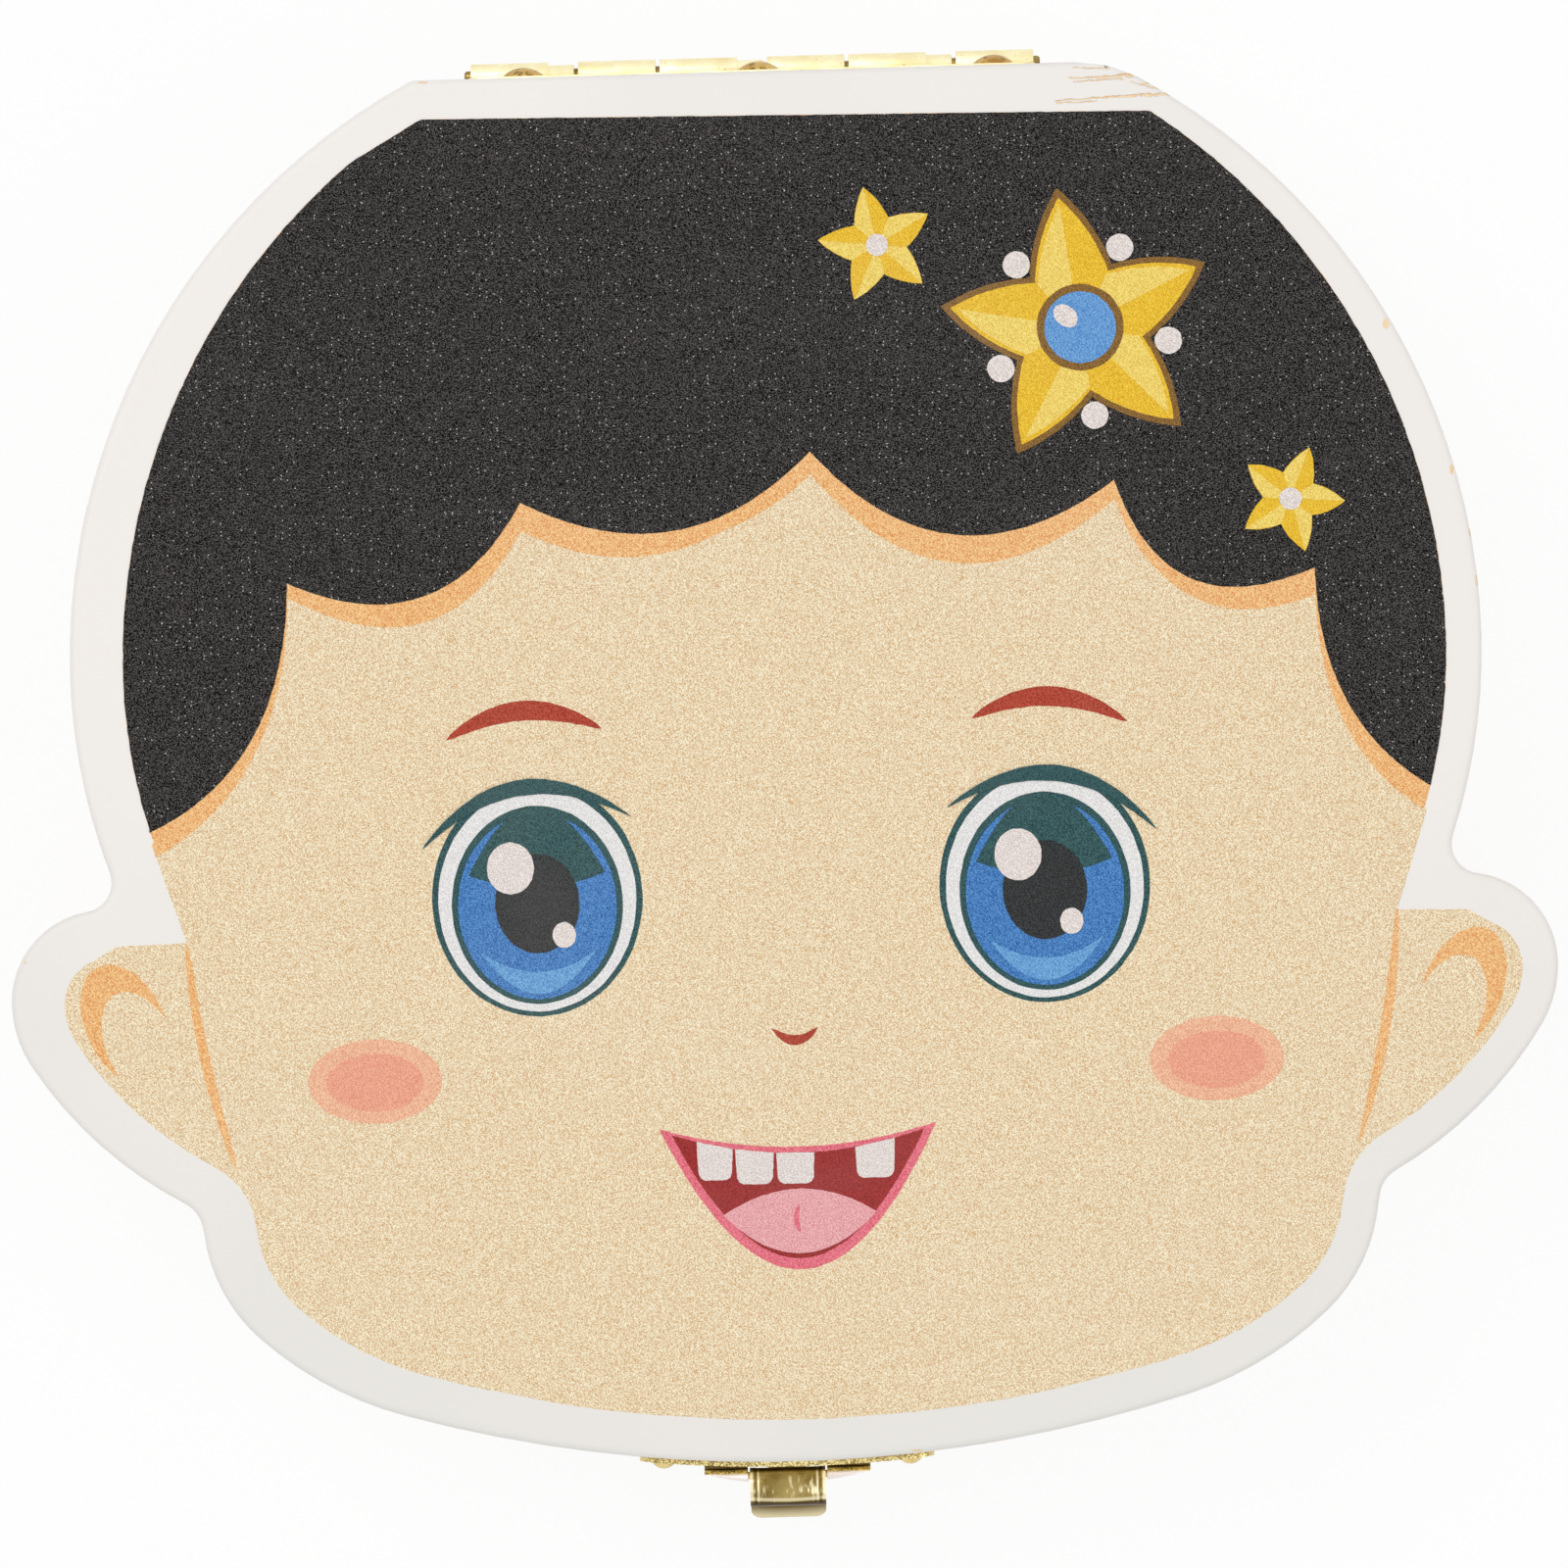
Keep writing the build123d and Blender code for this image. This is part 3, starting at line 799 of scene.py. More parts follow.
@dataclass(frozen=True)
class Workshop:
    """The bench: what operators need done before and after them."""

    smooth_angle: float = math.radians(35)
    edge_angle: float = math.radians(40)
    flat_angle: float = math.radians(0.5)
    merge_reach: float = 0.002
    arris_segments: int = 2

    def clear(self) -> None:
        """Leaves edit mode and deselects everything."""
        if bpy.context.object is not None and bpy.context.object.mode != "OBJECT":
            bpy.ops.object.mode_set(mode="OBJECT")
        bpy.ops.object.select_all(action="DESELECT")

    def take(self, piece: bpy.types.Object) -> None:
        """Selects one piece alone and makes it the active one.

        Args:
            piece: The piece.
        """
        self.clear()
        piece.select_set(True)
        bpy.context.view_layer.objects.active = piece

    def modify(self, piece: bpy.types.Object, kind: str, **settings: Feed) -> None:
        """Adds a modifier to a piece and applies it.

        Args:
            piece: The piece.
            kind: The modifier's type.
            settings: The modifier's options.
        """
        self.take(piece)
        modifier = piece.modifiers.new(kind.lower(), kind)
        for name, value in settings.items():
            setattr(modifier, name, value)
        bpy.ops.object.modifier_apply(modifier=modifier.name)

    def merged_copy(self, node: str, name: str) -> bpy.types.Object:
        """A copy of a frame node whose loose triangles are merged and joined into flat faces.

        Args:
            node: The node.
            name: The copy's name.

        Returns:
            The copy, on no body.
        """
        self.clear()
        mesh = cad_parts[node].data.copy()
        mesh.name = name
        piece = bpy.data.objects.new(name, mesh)
        bpy.context.scene.collection.objects.link(piece)
        mesh.materials.clear()
        self.take(piece)
        if mesh.has_custom_normals:
            bpy.ops.mesh.customdata_custom_splitnormals_clear()
        bpy.ops.object.mode_set(mode="EDIT")
        bpy.ops.mesh.select_all(action="SELECT")
        bpy.ops.mesh.remove_doubles(threshold=self.merge_reach * MM)
        bpy.ops.mesh.dissolve_limited(angle_limit=self.flat_angle)
        bpy.ops.object.mode_set(mode="OBJECT")
        return piece

    def rub(self, piece: bpy.types.Object, cuts: Sequence[Cut]) -> None:
        """Wears a corner round: each cut takes off what lies beyond an upright plane.

        Args:
            piece: The piece.
            cuts: The cuts.
        """
        for x, y, degrees in cuts:
            angle = math.radians(degrees)
            self.take(piece)
            bpy.ops.object.mode_set(mode="EDIT")
            bpy.ops.mesh.select_all(action="SELECT")
            bpy.ops.mesh.bisect(
                plane_co=(x * MM, y * MM, 0.0), plane_no=(math.cos(angle), math.sin(angle), 0.0),
                use_fill=True, clear_outer=True,
            )
            bpy.ops.object.mode_set(mode="OBJECT")

    def eased(
        self, node: str, arris: float, finish: Finish, body: Body, slot: Slot,
        cuts: Sequence[Cut] = (),
    ) -> None:
        """Stands a copy with eased edges in for a frame node.

        Args:
            node: The node.
            arris: How wide the eased edges are.
            finish: What the copy is finished with.
            body: The body it rides on.
            slot: The record's slot, passed on to finish.
            cuts: Where a corner of it is rubbed round.
        """
        piece = self.merged_copy(node, f"{node}_eased")
        self.rub(piece, cuts)
        self.modify(
            piece, "BEVEL", width=arris * MM, segments=self.arris_segments,
            limit_method="ANGLE", angle_limit=self.edge_angle, use_clamp_overlap=True,
        )
        piece.data.materials.append(finish.material())
        self.finish(piece, body, slot, node)

    def finish(self, piece: bpy.types.Object, body: Body, slot: Slot, *nodes: str) -> None:
        """Gives a finished piece its smooth shading, its body and what it stands for.

        Args:
            piece: The piece, in its place and with its materials.
            body: The body it rides on.
            slot: The record's slot; not used.
            nodes: Frame nodes that it replaces.
        """
        self.take(piece)
        bpy.ops.object.shade_smooth_by_angle(angle=self.smooth_angle)
        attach(piece, body.value)
        if nodes:
            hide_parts(*nodes)
        log.info("%s: %d faces", piece.name, len(piece.data.polygons))


BENCH = Workshop()


def beside(start: Sequence[float], end: Sequence[float], share: float, lift: float) -> Point:
    """A point beside a straight side.

    Args:
        start: Where the side starts.
        end: Where it ends.
        share: How far along the side the point lies, as a share of its length.
        lift: How far to its right, as a share of its length.

    Returns:
        The point.
    """
    across, along = end[0] - start[0], end[1] - start[1]
    return start[0] + across * share + along * lift, start[1] + along * share - across * lift


def bowed(knots: Sequence[Knot], step: float = POINT_STEP) -> Outline:
    """A closed outline of bowed sides.

    Args:
        knots: Its corners in order.
        step: About how far apart the points on a side are.

    Returns:
        The points of the outline.
    """
    points: Outline = []
    for start, end in zip(knots, [*knots[1:], knots[0]]):
        length = math.hypot(end[0] - start[0], end[1] - start[1])
        count = max(1, round(length / step))
        for t in (i / count for i in range(count)):
            points.append(beside(start, end, t, 4 * t * (1 - t) * start[2] / length))
    return points


def bowed_line(knots: Sequence[Knot]) -> Outline:
    """An open line of bowed sides, from the first of its corners to the last."""
    points = bowed(knots)
    return points[: points.index(tuple(knots[-1][:2])) + 1]


def oval(across: float, along: float, count: int = 72) -> Outline:
    """An oval round the origin, from its two radii."""
    turns = [2 * math.pi * i / count for i in range(count)]
    return [(across * math.cos(a), along * math.sin(a)) for a in turns]


def spoke(radius: float, degrees: float) -> Point:
    """The point at a radius, turned to the left from straight up."""
    angle = math.radians(degrees)
    return -radius * math.sin(angle), radius * math.cos(angle)


def star(tips: int, reach: float, waist: float, bow: float) -> Outline:
    """A star with soft sides round the origin.

    Args:
        tips: How many tips it has.
        reach: From its middle to a tip.
        waist: From its middle to a corner between tips.
        bow: How far its sides bow outwards.

    Returns:
        The points of the outline.
    """
    radii = [reach, waist] * tips
    return bowed([(*spoke(r, 180 / tips * i), bow) for i, r in enumerate(radii)])


def stroke(start: Point, end: Point, bow: float, width: float, blunt: float = 0.5) -> Outline:
    """A brush stroke that tapers to both ends.

    Args:
        start: Where it starts.
        end: Where it ends.
        bow: How far its middle bows to the right of the way along.
        width: Its width in the middle.
        blunt: How soon it is wide: small for blunt ends.

    Returns:
        The points of the outline.
    """
    length = math.hypot(end[0] - start[0], end[1] - start[1])
    least = 6
    count = max(least, round(length / POINT_STEP))
    right: Outline = []
    left: Outline = []
    for t in (i / count for i in range(count + 1)):
        middle = 4 * t * (1 - t) * bow / length
        half = width / 2 * max(0.0, math.sin(math.pi * t)) ** blunt / length
        right.append(beside(start, end, t, middle + half))
        left.append(beside(start, end, t, middle - half))
    return right + left[-2:0:-1]


def placed(outline: Outline, at: Point, turn: float = 0.0) -> Outline:
    """An outline turned to the left by so many degrees, and moved."""
    c, s = math.cos(math.radians(turn)), math.sin(math.radians(turn))
    return [(at[0] + x * c - y * s, at[1] + x * s + y * c) for x, y in outline]


def mirrored(outline: Outline) -> Outline:
    """An outline with left and right changed, going round the same way."""
    return [(-x, y) for x, y in reversed(outline)]


def untangled(loop: Outline, reach: int = 8) -> Outline:
    """An outline without the small tangles where it crosses itself.

    Args:
        loop: The outline.
        reach: How many sides a tangle can have.

    Returns:
        The outline with each tangle cut down to the point where it crosses.
    """
    points = list(loop)
    i = 0
    while i < len(points) - reach - 1:
        for j in range(i + reach, i + 1, -1):
            crossing = intersect_line_line_2d(*points[i : i + 2], *points[j : j + 2])
            if crossing is not None:
                points[i + 1 : j + 1] = [tuple(crossing)]
                break
        i += 1
    return points


def distance_to(spot: Vector, start: Vector, end: Vector) -> float:
    """How far a spot lies from a straight side.

    Args:
        spot: The spot.
        start: One end of the side.
        end: The other end.

    Returns:
        The distance.
    """
    place, share = intersect_point_line(spot, start, end)
    near = start if share <= 0 else end if share >= 1 else Vector(place[:2])
    return (spot - near).length


@dataclass
class Studio:
    """The camera straight above the lid, a pale floor, and soft lamps at a plain level."""

    aim: Point = (0.375, 0.5)
    lid_top: float = 30.0
    distance: float = 900.0
    frame_width: float = 126.62
    camera_turn: float = -1.6
    floor_half: float = 3000.0
    floor_cuts: int = 3
    floor_grey: float = 0.93
    floor_glow: float = 0.92
    ambient: float = 0.66
    sky: tuple[float, ...] = (0.96, 0.98, 1.0, 1.0)
    white: tuple[float, ...] = (1.0, 1.0, 1.0, 1.0)
    lamps: Sequence[tuple[str, tuple[float, float, float], float, float]] = (
        ("key_lamp", (-520.0, 420.0, 1250.0), 700.0, 5.2),
        ("fill_lamp", (700.0, -300.0, 1100.0), 900.0, 2.4),
    )
    sensor: float = 36.0

    def camera(self) -> None:
        """Sets the camera at the photograph's angle."""
        BENCH.clear()
        place = (self.aim[0] * MM, self.aim[1] * MM, (self.lid_top + self.distance) * MM)
        turn = (0.0, 0.0, math.radians(self.camera_turn))
        bpy.ops.object.camera_add(location=place, rotation=turn)
        camera = bpy.context.object
        camera.name = "photo_camera"
        camera.data.sensor_width = self.sensor
        camera.data.lens = self.sensor * self.distance / self.frame_width
        bpy.context.scene.camera = camera

    def white_seen(self, shade: Shade) -> Feed:
        """Tells the rays that see the background: from the camera, a gloss or a clear piece.

        Args:
            shade: The material or the world being written.

        Returns:
            1 for such rays, and 0 for the others.
        """
        rays = shade.add("ShaderNodeLightPath", {}).outputs
        seen = shade.maths("MAXIMUM", rays["Is Camera Ray"], rays["Is Glossy Ray"])
        return shade.maths("MAXIMUM", seen, rays["Is Transmission Ray"])

    def floor(self) -> None:
        """Lays the floor, which looks white and keeps a faint shadow."""
        BENCH.clear()
        bpy.ops.mesh.primitive_plane_add(size=2 * self.floor_half * MM)
        floor = bpy.context.object
        floor.name = "studio_floor"
        bpy.ops.object.mode_set(mode="EDIT")
        bpy.ops.mesh.subdivide(number_cuts=self.floor_cuts)
        bpy.ops.object.mode_set(mode="OBJECT")
        material = bpy.data.materials.new("pale_floor")
        shade = Shade(material)
        lit = shade.add("ShaderNodeBsdfDiffuse", {"Color": (*[self.floor_grey] * 3, 1)})
        glow = shade.add("ShaderNodeEmission", {"Color": self.white, "Strength": 1.0})
        share = shade.times(self.white_seen(shade), self.floor_glow)
        both = shade.add("ShaderNodeMixShader", {0: share, 1: lit.outputs[0], 2: glow.outputs[0]})
        shade.add("ShaderNodeOutputMaterial", {"Surface": both.outputs[0]})
        floor.data.materials.append(material)

    def light(self) -> None:
        """Hangs the lamps and sets the world's soft light."""
        for name, place, size, power in self.lamps:
            BENCH.clear()
            bpy.ops.object.light_add(type="AREA", location=[c * MM for c in place])
            lamp = bpy.context.object
            lamp.name = name
            lamp.data.size = size * MM
            lamp.data.energy = power
            way = Vector((0, 0, self.lid_top)) - Vector(place)
            lamp.rotation_euler = way.to_track_quat("-Z", "Y").to_euler()

    def world(self) -> None:
        """Sets the soft light of the room, and plain white where it is seen."""
        world = bpy.data.worlds.new("studio")
        shade = Shade(world)
        soft = shade.add("ShaderNodeBackground", {"Color": self.sky, "Strength": self.ambient})
        plain = shade.add("ShaderNodeBackground", {"Color": self.white, "Strength": 1.0})
        feeds = {0: self.white_seen(shade), 1: soft.outputs[0], 2: plain.outputs[0]}
        both = shade.add("ShaderNodeMixShader", feeds)
        shade.add("ShaderNodeOutputWorld", {"Surface": both.outputs[0]})
        bpy.context.scene.world = world
        bpy.context.scene.view_settings.view_transform = "Standard"

    def build(self) -> None:
        """Sets up the camera, the floor and the light."""
        self.camera()
        self.floor()
        self.light()
        self.world()


@dataclass
class Woodwork:
    """The two halves: frames and boards of pale wood, with the lid's face painted."""

    arris: float = 0.18
    frame_arris: float = 0.28
    pocket_arris: float = 0.12
    shut_line: float = 15.0
    face_plies: Sequence[Point] = ((28.0, 29.0),)
    base_plies: Sequence[Point] = ((1.0, 2.0),)
    rubbed: Sequence[Cut] = ((26.6, 57.98, 82.0), (28.3, 57.58, 75.0), (30.2, 56.9, 68.0))
    streaks: Sequence[Streak] = (
        Streak((25.3, 57.66), (28.3, 57.52), 0.05, 0.07),
        Streak((24.9, 56.9), (30.2, 56.84), 0.06, 0.16),
        Streak((25.3, 56.64), (29.4, 56.6), 0.05, 0.06),
        Streak((29.9, 56.42), (32.1, 55.84), 0.05, 0.08),
        Streak((23.8, 55.06), (33.4, 55.4), 0.06, 0.15),
        Streak((23.9, 54.86), (27.2, 54.9), 0.05, 0.05),
    )
    spots: Sequence[Spot] = (
        (50.0, 36.3, 0.3, 0.5), (55.0, 24.4, 0.2, 0.5), (56.4, 19.4, 0.16, 0.7),
        (56.8, 15.4, 0.14, 0.6), (-62.4, -11.4, 0.2, 0.6), (-59.4, -8.5, 0.14, 0.1),
        (-61.3, -12.2, 0.12, 0.14), (9.6, -53.6, 0.5, 0.12), (-27.2, 57.95, 0.5, 0.1),
        (29.4, 57.05, 0.5, 0.12), (31.2, 56.25, 0.5, 0.12), (33.0, 55.35, 0.5, 0.14),
    )

    def build(self) -> None:
        """Dresses the boards and frames and eases their edges; painted shade along the shut line
        helps the joints show.
        """
        paint = Paint("lid_paint", plies=self.face_plies, streaks=self.streaks, spots=self.spots)
        # Both frames get painted shade along the shut line between lid and base.
        shut = (self.shut_line,)
        lid_wood = Wood("lid_frame_wood", heart=(-6.0, -70.0), joints=shut)
        base_wood = Wood("base_frame_wood", heart=(34.0, -40.0), joints=shut)
        board = Wood("base_board_wood", heart=(90.0, 10.0), ring_pitch=4.2, plies=self.base_plies)
        lining = Wood("lining_wood", heart=(70.0, -20.0), ring_pitch=3.6, relief=0.03)
        pockets = Wood("pocket_board_wood", heart=(60.0, -30.0), ring_pitch=3.4, burnt=0.95)
        outer = ("base_board", "base_frame", "lid_frame", "lid_face_board")
        for node, arris, finish, body in (
            ("base_board", self.arris, board, Body.BASE),
            ("base_frame", self.frame_arris, base_wood, Body.BASE),
            ("tray_floor_board", self.pocket_arris, lining, Body.BASE),
            ("tooth_pocket_board", self.pocket_arris, pockets, Body.BASE),
            ("lid_frame", self.frame_arris, lid_wood, Body.LID),
            ("lid_lining_board", self.pocket_arris, lining, Body.LID),
            ("lid_face_board", self.arris, paint, Body.LID),
        ):
            slot = Slot.PAINT if finish is paint else Slot.WOOD
            cuts = self.rubbed if node in outer else ()
            BENCH.eased(node, arris, finish, body, slot, cuts)


@dataclass
class Hinge:
    """The rolled strip hinge: two leaves, the pin and the nails that hold it."""

    arris: float = 0.05

    def build(self) -> None:
        """Dresses the hinge's pieces."""
        leaf = Brass(
            "hinge_brass", bright=(254, 247, 210), deep=(242, 226, 172), pits=0.3, grime=0.08,
            roughness=0.42,
        )
        pin = Brass("hinge_pin_brass", bright=(176, 152, 96), deep=(112, 90, 50), pits=0.2)
        # The nails are browner and darker than the leaves: partly stains on the brass, partly a
        # painted reflection of the wood and the dark round their domes.
        nail = Brass(
            "hinge_nail_brass", bright=(232, 198, 118), deep=(176, 130, 60), stain=(96, 64, 24),
            pits=0.5, grime=0.2, roughness=0.3,
        )
        for node, finish, body in (
            ("hinge_base_leaf", leaf, Body.BASE),
            ("hinge_pin", pin, Body.BASE),
            ("hinge_base_nails", nail, Body.BASE),
            ("hinge_lid_leaf", leaf, Body.LID),
            ("hinge_lid_nails", nail, Body.LID),
        ):
            BENCH.eased(node, self.arris, finish, body, Slot.BRASS)


@dataclass
class Latch:
    """The duckbill latch: a plate and a tongue on the lid, and the catch on the base."""

    arris: float = 0.06
    tongue_arris: float = 0.1
    wing_rise: float = 0.35

    def build(self) -> None:
        """Dresses the latch's pieces."""
        plate = Brass(
            "latch_plate_brass", bright=(232, 216, 162), deep=(200, 178, 116), stain=(112, 86, 42),
            pits=0.35, grime=0.06, roughness=0.3,
        )
        lid_plate = PlateBrass(
            "lid_plate_brass", bright=plate.bright, deep=plate.deep, stain=plate.stain,
            pits=0.3, grime=0.04, front_y=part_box("latch_lid_plate")[0].y / MM,
            wing_top_z=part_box("latch_pivot_pin")[1].z / MM + self.wing_rise,
        )
        low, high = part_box("latch_tongue")
        tongue = TongueBrass(
            "latch_tongue_brass", bright=(170, 150, 92), deep=(124, 104, 54),
            stain=(90, 70, 32), pits=0.35, grime=0.08, roughness=0.26, dents=0.08,
            front_y=low.y / MM, top_z=high.z / MM, middle_x=(low.x + high.x) / 2 / MM,
            half_width=(high.x - low.x) / 2 / MM,
        )
        nail = Brass(
            "latch_nail_brass", bright=(236, 214, 150), deep=(190, 158, 92), stain=(96, 68, 30),
            pits=0.3, roughness=0.25,
        )
        for node, arris, finish, body in (
            ("latch_catch_plate", self.arris, plate, Body.BASE),
            ("latch_catch_plate_nails", self.arris, nail, Body.BASE),
            ("latch_lid_plate", self.arris, lid_plate, Body.LID),
            ("latch_lid_plate_nails", self.arris, nail, Body.LID),
            ("latch_pivot_pin", self.arris, nail, Body.LID),
            ("latch_tongue", self.tongue_arris, tongue, Body.TONGUE),
        ):
            BENCH.eased(node, arris, finish, body, Slot.BRASS)


@dataclass
class LidPrint:
    """The picture on the lid: a plain smiling child's face with gold stars in its hair.

    It lies in thin films of ink, each on the one before it. Its places are measured from the
    picture's own middle, which lies a little off the middle of the board.
    """

    margin: float = 3.1
    back_line: Point = (54.71, -0.0155)
    back_cut: Point = (71.5, 0.58)
    crown_growth: float = 1.0656
    ear_line: float = -2.7
    notch: Sequence[Point] = ((51.5, -2.8), (48.9, -10.8), (54.6, -10.95), (56.45, -12.06))
    shift: Point = (0.7, -0.2)
    film: float = 0.02
    ragged: float = 0.05
    ragged_rate: float = 2.9
    ragged_step: float = 3.1
    ragged_gap: float = 61.7
    fine_step: float = 0.5
    nearest_share: float = 0.985
    flat_facing: float = 0.99
    top_reach: float = 0.1
    fringe: Sequence[Knot] = (
        (-60.0, -4.0, 6.4), (-40.0, 18.0, 4.6), (-21.0, 24.0, 4.4), (2.5, 27.5, 5.6),
        (27.0, 24.5, 4.8), (43.0, 17.0, 5.4), (60.0, -4.0, 0.0),
    )
    eye_at: Point = (20.5, -8.0)
    ear_at: Point = (54.0, -17.3)
    mouth_y: float = -27.4
    mouth_half: float = 10.2
    mouth_sag: float = 1.7
    tooth_height: float = 2.5
    star_at: Point = (24.6, 36.9)
    skin: Ink = Ink("skin_ink", (214, 173, 123), (255, 245, 214), tooth=12.0)
    shade_ink: Ink = Ink("warm_shade_ink", (224, 144, 76), (255, 216, 154))
    hair: Ink = Ink(
        "hair_ink", (0, 0, 0), (102, 98, 95), crisp=0.14, skew=2.3, lean=76.0, glints=0.2,
        scuff=0.008, gloss=0.02,
    )
    line_ink: Ink = Ink("deep_teal_ink", (20, 52, 56), (64, 104, 104))
    white: Ink = Ink("eye_white_ink", (212, 208, 204), (250, 248, 246))
    blue: Ink = Ink("blue_ink", (34, 88, 156), (92, 152, 212))
    sky: Ink = Ink("light_blue_ink", (72, 132, 192), (128, 184, 228))
    pupil: Ink = Ink("pupil_ink", (18, 19, 20), (66, 68, 68), skew=1.6)
    blush: Ink = Ink("blush_ink", (226, 158, 122), (255, 206, 172))
    rosy: Ink = Ink("rosy_ink", (226, 140, 112), (250, 186, 158))
    brow: Ink = Ink("brow_ink", (146, 44, 30), (198, 84, 60))
    lip: Ink = Ink("lip_ink", (208, 82, 102), (248, 136, 148))
    mouth: Ink = Ink("mouth_ink", (128, 24, 26), (176, 54, 50))
    tongue: Ink = Ink("tongue_ink", (216, 136, 142), (250, 192, 192))
    gold: Ink = Ink("gold_ink", (218, 162, 20), (250, 212, 66))
    pale_gold: Ink = Ink("pale_gold_ink", (226, 186, 76), (255, 232, 128))
    umber: Ink = Ink("umber_ink", (104, 70, 26), (158, 118, 58))
    gem: Ink = Ink("gem_ink", (62, 124, 192), (130, 180, 226))
    pearl: Ink = Ink("pearl_ink", (206, 192, 186), (250, 240, 234))
    films: dict[str, list[bpy.types.Object]] = field(default_factory=dict)

    def rim(self) -> Outline:
        """Reads the rim of the lid's flat top from the face board.

        Returns:
            Its points in order, going round to the left.
        """
        copy = BENCH.merged_copy("lid_face_board", "rim_source")
        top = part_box("lid_face_board")[1].z
        mesh = bmesh.new()
        mesh.from_mesh(copy.data)
        low = top - self.top_reach * MM
        upward = [f for f in mesh.faces if f.normal.z > self.flat_facing]
        flat = [f for f in upward if f.calc_center_median().z > low]
        edges = {e for f in flat for e in f.edges if sum(g in flat for g in e.link_faces) == 1}
        edge = min(edges, key=lambda e: e.index)
        corner = edge.verts[0]
        loop = []
        while edge in edges:
            edges.discard(edge)
            corner = edge.other_vert(corner)
            loop.append((corner.co.x / MM, corner.co.y / MM))
            edge = next((e for e in corner.link_edges if e in edges), edge)
        mesh.free()
        bpy.data.objects.remove(copy)
        area = sum(a[0] * b[1] - b[0] * a[1] for a, b in zip(loop, loop[1:] + loop[:1]))
        return loop if area > 0 else loop[::-1]

    def inside(self, loop: Outline, distance: float) -> Outline:
        """A loop drawn inside another at an even distance.

        Args:
            loop: The outer loop, going round to the left.
            distance: How far inside.

        Returns:
            The inner loop.
        """
        fine: list[Vector] = []
        for a, b in zip(loop, loop[1:] + loop[:1]):
            start, end = Vector(a), Vector(b)
            count = max(1, round((end - start).length / self.fine_step))
            fine.extend(start.lerp(end, i / count) for i in range(count))
        inner: Outline = []
        for i, here in enumerate(fine):
            way = (fine[(i + 1) % len(fine)] - fine[i - 1]).normalized()
            spot = here + Vector((-way.y, way.x)) * distance
            gap = min(distance_to(spot, a, b) for a, b in zip(fine, fine[1:] + fine[:1]))
            if gap > distance * self.nearest_share:
                inner.append((spot.x, spot.y))
        return untangled(inner)

    def printed(self, loop: Outline) -> Outline:
        """The outline of the print, from a loop at an even distance inside the board's rim.

        The print bulges a little more than the board beside the crown, ends on a straight line
        at the back, a little askew, with its left corner cut, and has a square corner over each
        ear. The line and the cut are given as a height in the middle and a slope.

        Args:
            loop: The even loop, going round to the left.

        Returns:
            The outline.
        """
        widest, turn_y = max((x, y) for x, y in loop if y > 0)
        cut = self.notch[-1]
        corner = bowed_line([(x, y, 0.0) for x, y in self.notch])
        points: Outline = []
        done = set()
        for x, y in loop:
            side = math.copysign(1, x)
            if y > turn_y:
                across = side * (widest + (abs(x) - widest) * self.crown_growth)
                along = turn_y + (y - turn_y) * self.crown_growth
                ends = [high + slope * across for high, slope in (self.back_line, self.back_cut)]
                if side * across > 0:
                    points.append((across, min(along, *ends)))
            elif not (cut[1] < y < self.ear_line and abs(x) < cut[0]):
                points.append((x, y))
            elif side not in done:
                done.add(side)
                points.extend((side * a, b) for a, b in corner[:: -1 if side > 0 else 1])
        return points

    def lay(self, group: str, outline: Outline, level: int, ink: Ink) -> None:
        """Lays one film of ink, a little ragged along its outline.

        Args:
            group: The piece it becomes part of.
            outline: Its outline on the lid.
            level: How many films lie under it.
            ink: The ink.
        """
        BENCH.clear()
        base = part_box("lid_face_board")[1].z + level * self.film * MM
        bpy.ops.mesh.primitive_circle_add(vertices=len(outline), radius=MM)
        piece = bpy.context.object
        piece.name = f"{group}_{ink.name}_{level}"
        bpy.ops.object.mode_set(mode="EDIT")
        ring = bmesh.from_edit_mesh(piece.data)
        ring.verts.ensure_lookup_table()
        for corner, (x, y) in zip(ring.verts, outline):
            at = (x * self.ragged_rate, y * self.ragged_rate, level * self.ragged_step)
            across = noise.noise(Vector(at)) * self.ragged
            along = noise.noise(Vector(at) + Vector((0, 0, self.ragged_gap))) * self.ragged
            place = (x + across + self.shift[0], y + along + self.shift[1])
            corner.co = Vector((place[0] * MM, place[1] * MM, base))
        bmesh.update_edit_mesh(piece.data)
        bpy.ops.mesh.select_all(action="SELECT")
        bpy.ops.mesh.edge_face_add()
        rise = {"value": (0, 0, self.film * MM)}
        bpy.ops.mesh.extrude_region_move(TRANSFORM_OT_translate=rise)
        bpy.ops.mesh.select_all(action="SELECT")
        bpy.ops.mesh.normals_make_consistent(inside=False)
        bpy.ops.mesh.quads_convert_to_tris(ngon_method="BEAUTY")
        bpy.ops.object.mode_set(mode="OBJECT")
        piece.data.materials.append(ink.material())
        self.films.setdefault(group, []).append(piece)

    def pair(self, group: str, outline: Outline, level: int, ink: Ink) -> None:
        """Lays a film on the left of the face and its mirror image on the right."""
        for side in (outline, mirrored(outline)):
            self.lay(group, side, level, ink)

    def above(self, area: Outline, lower: Outline) -> Outline:
        """The part of an area that lies above a line drawn from left to right.

        Args:
            area: The area's outline, going round to the left.
            lower: The line, which starts and ends outside the area.

        Returns:
            The outline of the part.
        """
        def height(x: float) -> float:
            """Reads the line's height.

            Args:
                x: The place across.

            Returns:
                The height there.
            """
            for (x0, y0), (x1, y1) in zip(lower, lower[1:]):
                if x0 <= x < x1:
                    return y0 + (y1 - y0) * (x - x0) / (x1 - x0)
            return lower[-1][1]

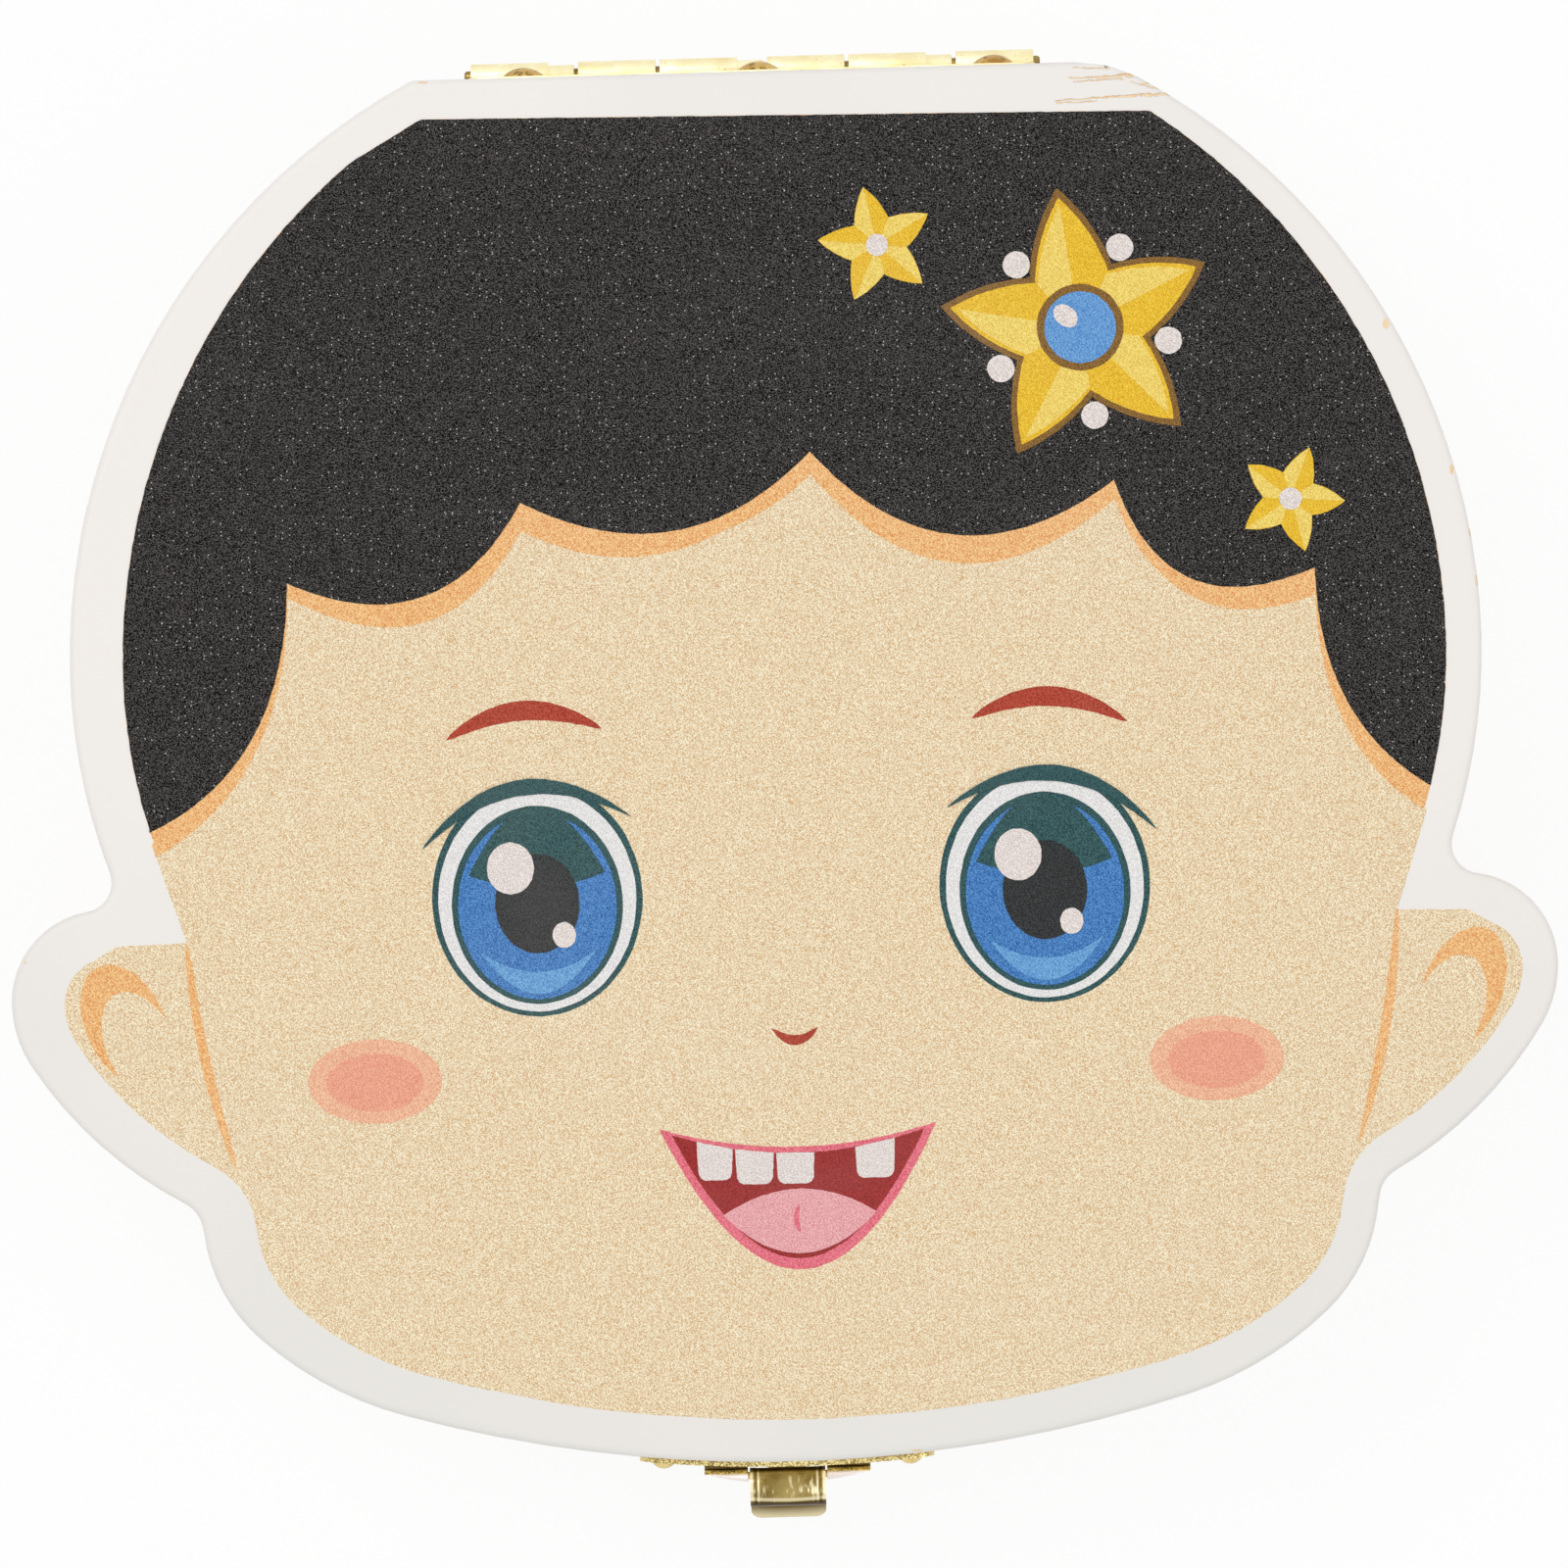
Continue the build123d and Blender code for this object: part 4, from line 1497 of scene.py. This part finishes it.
        kept = [y > height(x) for x, y in area]
        runs: list[Outline] = []
        for i, held in enumerate(kept):
            if held and not kept[i - 1]:
                runs.append([])
                while kept[(i + len(runs[-1])) % len(area)]:
                    runs[-1].append(area[(i + len(runs[-1])) % len(area)])
        chain = max(runs, key=len)
        left, right = chain[-1][0], chain[0][0]
        return chain + [(x, y) for x, y in lower if left < x < right]

    def head(self, area: Outline) -> None:
        """Lays the skin, the ears, and the hair with its soft fringe and the shade below it.

        Args:
            area: The outline of the print.
        """
        self.lay("lid_print_face", area, 0, self.skin)
        x, y = self.ear_at
        for outline, level, ink in (
            (placed(oval(3.2, 5.2, 48), (-x, y), 24), 1, self.shade_ink),
            (placed(oval(2.8, 4.9, 44), (-x + 1.3, y - 1.9), 24), 2, self.skin),
            (stroke((-48.9, -10.7), (-45.3, -29.4), 0.6, 0.8), 1, self.shade_ink),
        ):
            self.pair("lid_print_face", outline, level, ink)
        line = bowed_line(self.fringe)
        least, swell, rate, start = 1.2, 1.1, 0.09, 0.4
        shadow = [(x, y - least - swell * abs(math.sin(x * rate + start))) for x, y in line]
        self.lay("lid_print_face", self.above(area, shadow), 1, self.shade_ink)
        self.lay("lid_print_hair", self.above(area, line), 2, self.hair)

    def eyes(self) -> None:
        """Two plain round eyes, with brows and lids."""
        x, y = self.eye_at
        group = "lid_print_eyes"
        for outline, drop, level, ink in (
            (oval(8.5, 9.5), 0.0, 1, self.line_ink),
            (oval(8.0, 9.0), -0.1, 2, self.white),
            (oval(6.9, 8.0), -0.5, 3, self.line_ink),
            (oval(6.4, 7.5), -0.6, 4, self.blue),
            (bowed([(5.5, 2.6, 5.4), (-5.5, 2.6, 1.1)]), -0.6, 5, self.line_ink),
            (bowed([(-4.7, -3.6, 3.5), (4.7, -3.6, -1.7)]), -0.6, 5, self.sky),
            (oval(3.4, 4.0), -0.4, 6, self.pupil),
        ):
            self.pair(group, placed(outline, (-x, y + drop)), level, ink)
        for side in (-1, 1):
            self.lay(group, placed(oval(1.9, 2.1, 40), (side * x - 2.1, y + 2.5)), 7, self.pearl)
            self.lay(group, placed(oval(0.95, 1.05, 32), (side * x + 2.1, y - 3.0)), 7, self.pearl)
        lash = stroke((-x - 9.2, y + 4.2), (-x + 7.8, y + 6.4), -3.7, 1.3, 0.7)
        brow = stroke((-x - 7.0, y + 13.0), (-x + 5.6, y + 13.6), -1.9, 1.6, 0.6)
        self.pair(group, lash, 6, self.line_ink)
        self.pair(group, brow, 1, self.brow)

    def smile(self) -> None:
        """The nose, the cheeks, and an open smile with a gap where a milk tooth was."""
        group = "lid_print_smile"
        self.lay(group, stroke((-1.9, -19.0), (1.9, -19.0), 1.0, 0.8, 0.4), 1, self.brow)
        self.pair(group, placed(oval(5.4, 3.4), (-34.0, -22.4)), 1, self.blush)
        self.pair(group, placed(oval(3.9, 2.3), (-34.0, -22.5)), 2, self.rosy)
        self.lay(group, bowed([(-11.2, -26.9, 11.6), (11.2, -26.9, -1.7)]), 1, self.lip)
        half, lip_y, sag = self.mouth_half, self.mouth_y, self.mouth_sag
        self.lay(group, bowed([(-half, lip_y, 10.2), (half, lip_y, -sag)]), 2, self.mouth)
        self.lay(group, bowed([(-6.2, -34.0, 3.2), (6.2, -34.0, 2.0)]), 3, self.tongue)
        self.lay(group, stroke((0.0, -33.2), (0.0, -35.6), 0.3, 0.45, 0.5), 4, self.lip)
        for left, right in ((-8.2, -5.3), (-5.1, -2.0), (-1.8, 1.3), (4.6, 7.8)):
            tops = [lip_y - sag * (1 - (x / half) ** 2) for x in (left, right)]
            low = min(tops) - self.tooth_height
            tooth = [
                (left, tops[0], 0.0), (left + 0.1, low + 0.5, 0.1), (left + 0.6, low, 0.0),
                (right - 0.6, low, 0.1), (right - 0.1, low + 0.5, 0.0), (right, tops[1], 0.0),
            ]
            self.lay(group, bowed(tooth, 0.3), 3, self.pearl)

    def stars(self) -> None:
        """A gold star with pearls and a blue gem, and two small stars beside it."""
        group = "lid_print_stars"
        turn, tips = 8.0, 5
        step = 360 / tips

        def put(outline: Outline, level: int, ink: Ink) -> None:
            """Lays one film of the big star."""
            self.lay(group, placed(outline, self.star_at, turn), level, ink)

        put(star(tips, 11.4, 5.7, 0.5), 3, self.umber)
        put(star(tips, 10.6, 5.1, 0.45), 4, self.gold)
        for i in range(tips):
            tip, corner = spoke(10.0, step * i), spoke(4.8, step * (i + 0.5))
            put(bowed([(0.0, 0.0, 0.0), (*tip, 0.4), (*corner, 0.0)]), 5, self.pale_gold)
            put(placed(oval(1.1, 1.1, 32), spoke(7.2, step * (i + 0.5))), 5, self.pearl)
        put(oval(3.5, 3.5, 48), 6, self.umber)
        put(oval(2.9, 2.9, 44), 7, self.gem)
        put(placed(oval(0.8, 1.1, 28), (-1.0, 1.1), 40), 8, self.pearl)
        for at, reach, tilt in (((8.4, 44.0), 4.8, 12.0), ((41.2, 22.6), 4.4, -22.0)):
            self.lay(group, placed(star(tips, reach, reach * 0.5, 0.2), at, tilt), 3, self.gold)
            for i in range(tips):
                tip, corner = spoke(reach, step * i), spoke(reach * 0.5, step * (i + 0.5))
                facet = bowed([(0.0, 0.0, 0.0), (*tip, 0.15), (*corner, 0.0)])
                self.lay(group, placed(facet, at, tilt), 4, self.pale_gold)
            self.lay(group, placed(oval(0.9, 0.9, 28), at), 5, self.pearl)

    def build(self) -> None:
        """Lays every film and joins the films of each feature into one piece."""
        area = self.printed(self.inside(self.rim(), self.margin))
        self.head(area)
        self.eyes()
        self.smile()
        self.stars()
        for group, films in self.films.items():
            BENCH.clear()
            for piece in films:
                piece.select_set(True)
            bpy.context.view_layer.objects.active = films[0]
            if len(films) > 1:
                bpy.ops.object.join()
            piece = films[0]
            piece.name = group
            BENCH.finish(piece, Body.LID, Slot.PAINT)


def main() -> None:
    """Builds the box's looks round the frame."""
    for part in (Studio(), Woodwork(), Hinge(), Latch(), LidPrint()):
        log.info("building: %s", type(part).__name__)
        part.build()


if __name__ == "__main__":
    logging.basicConfig(level=logging.INFO, format="%(message)s")
    main()
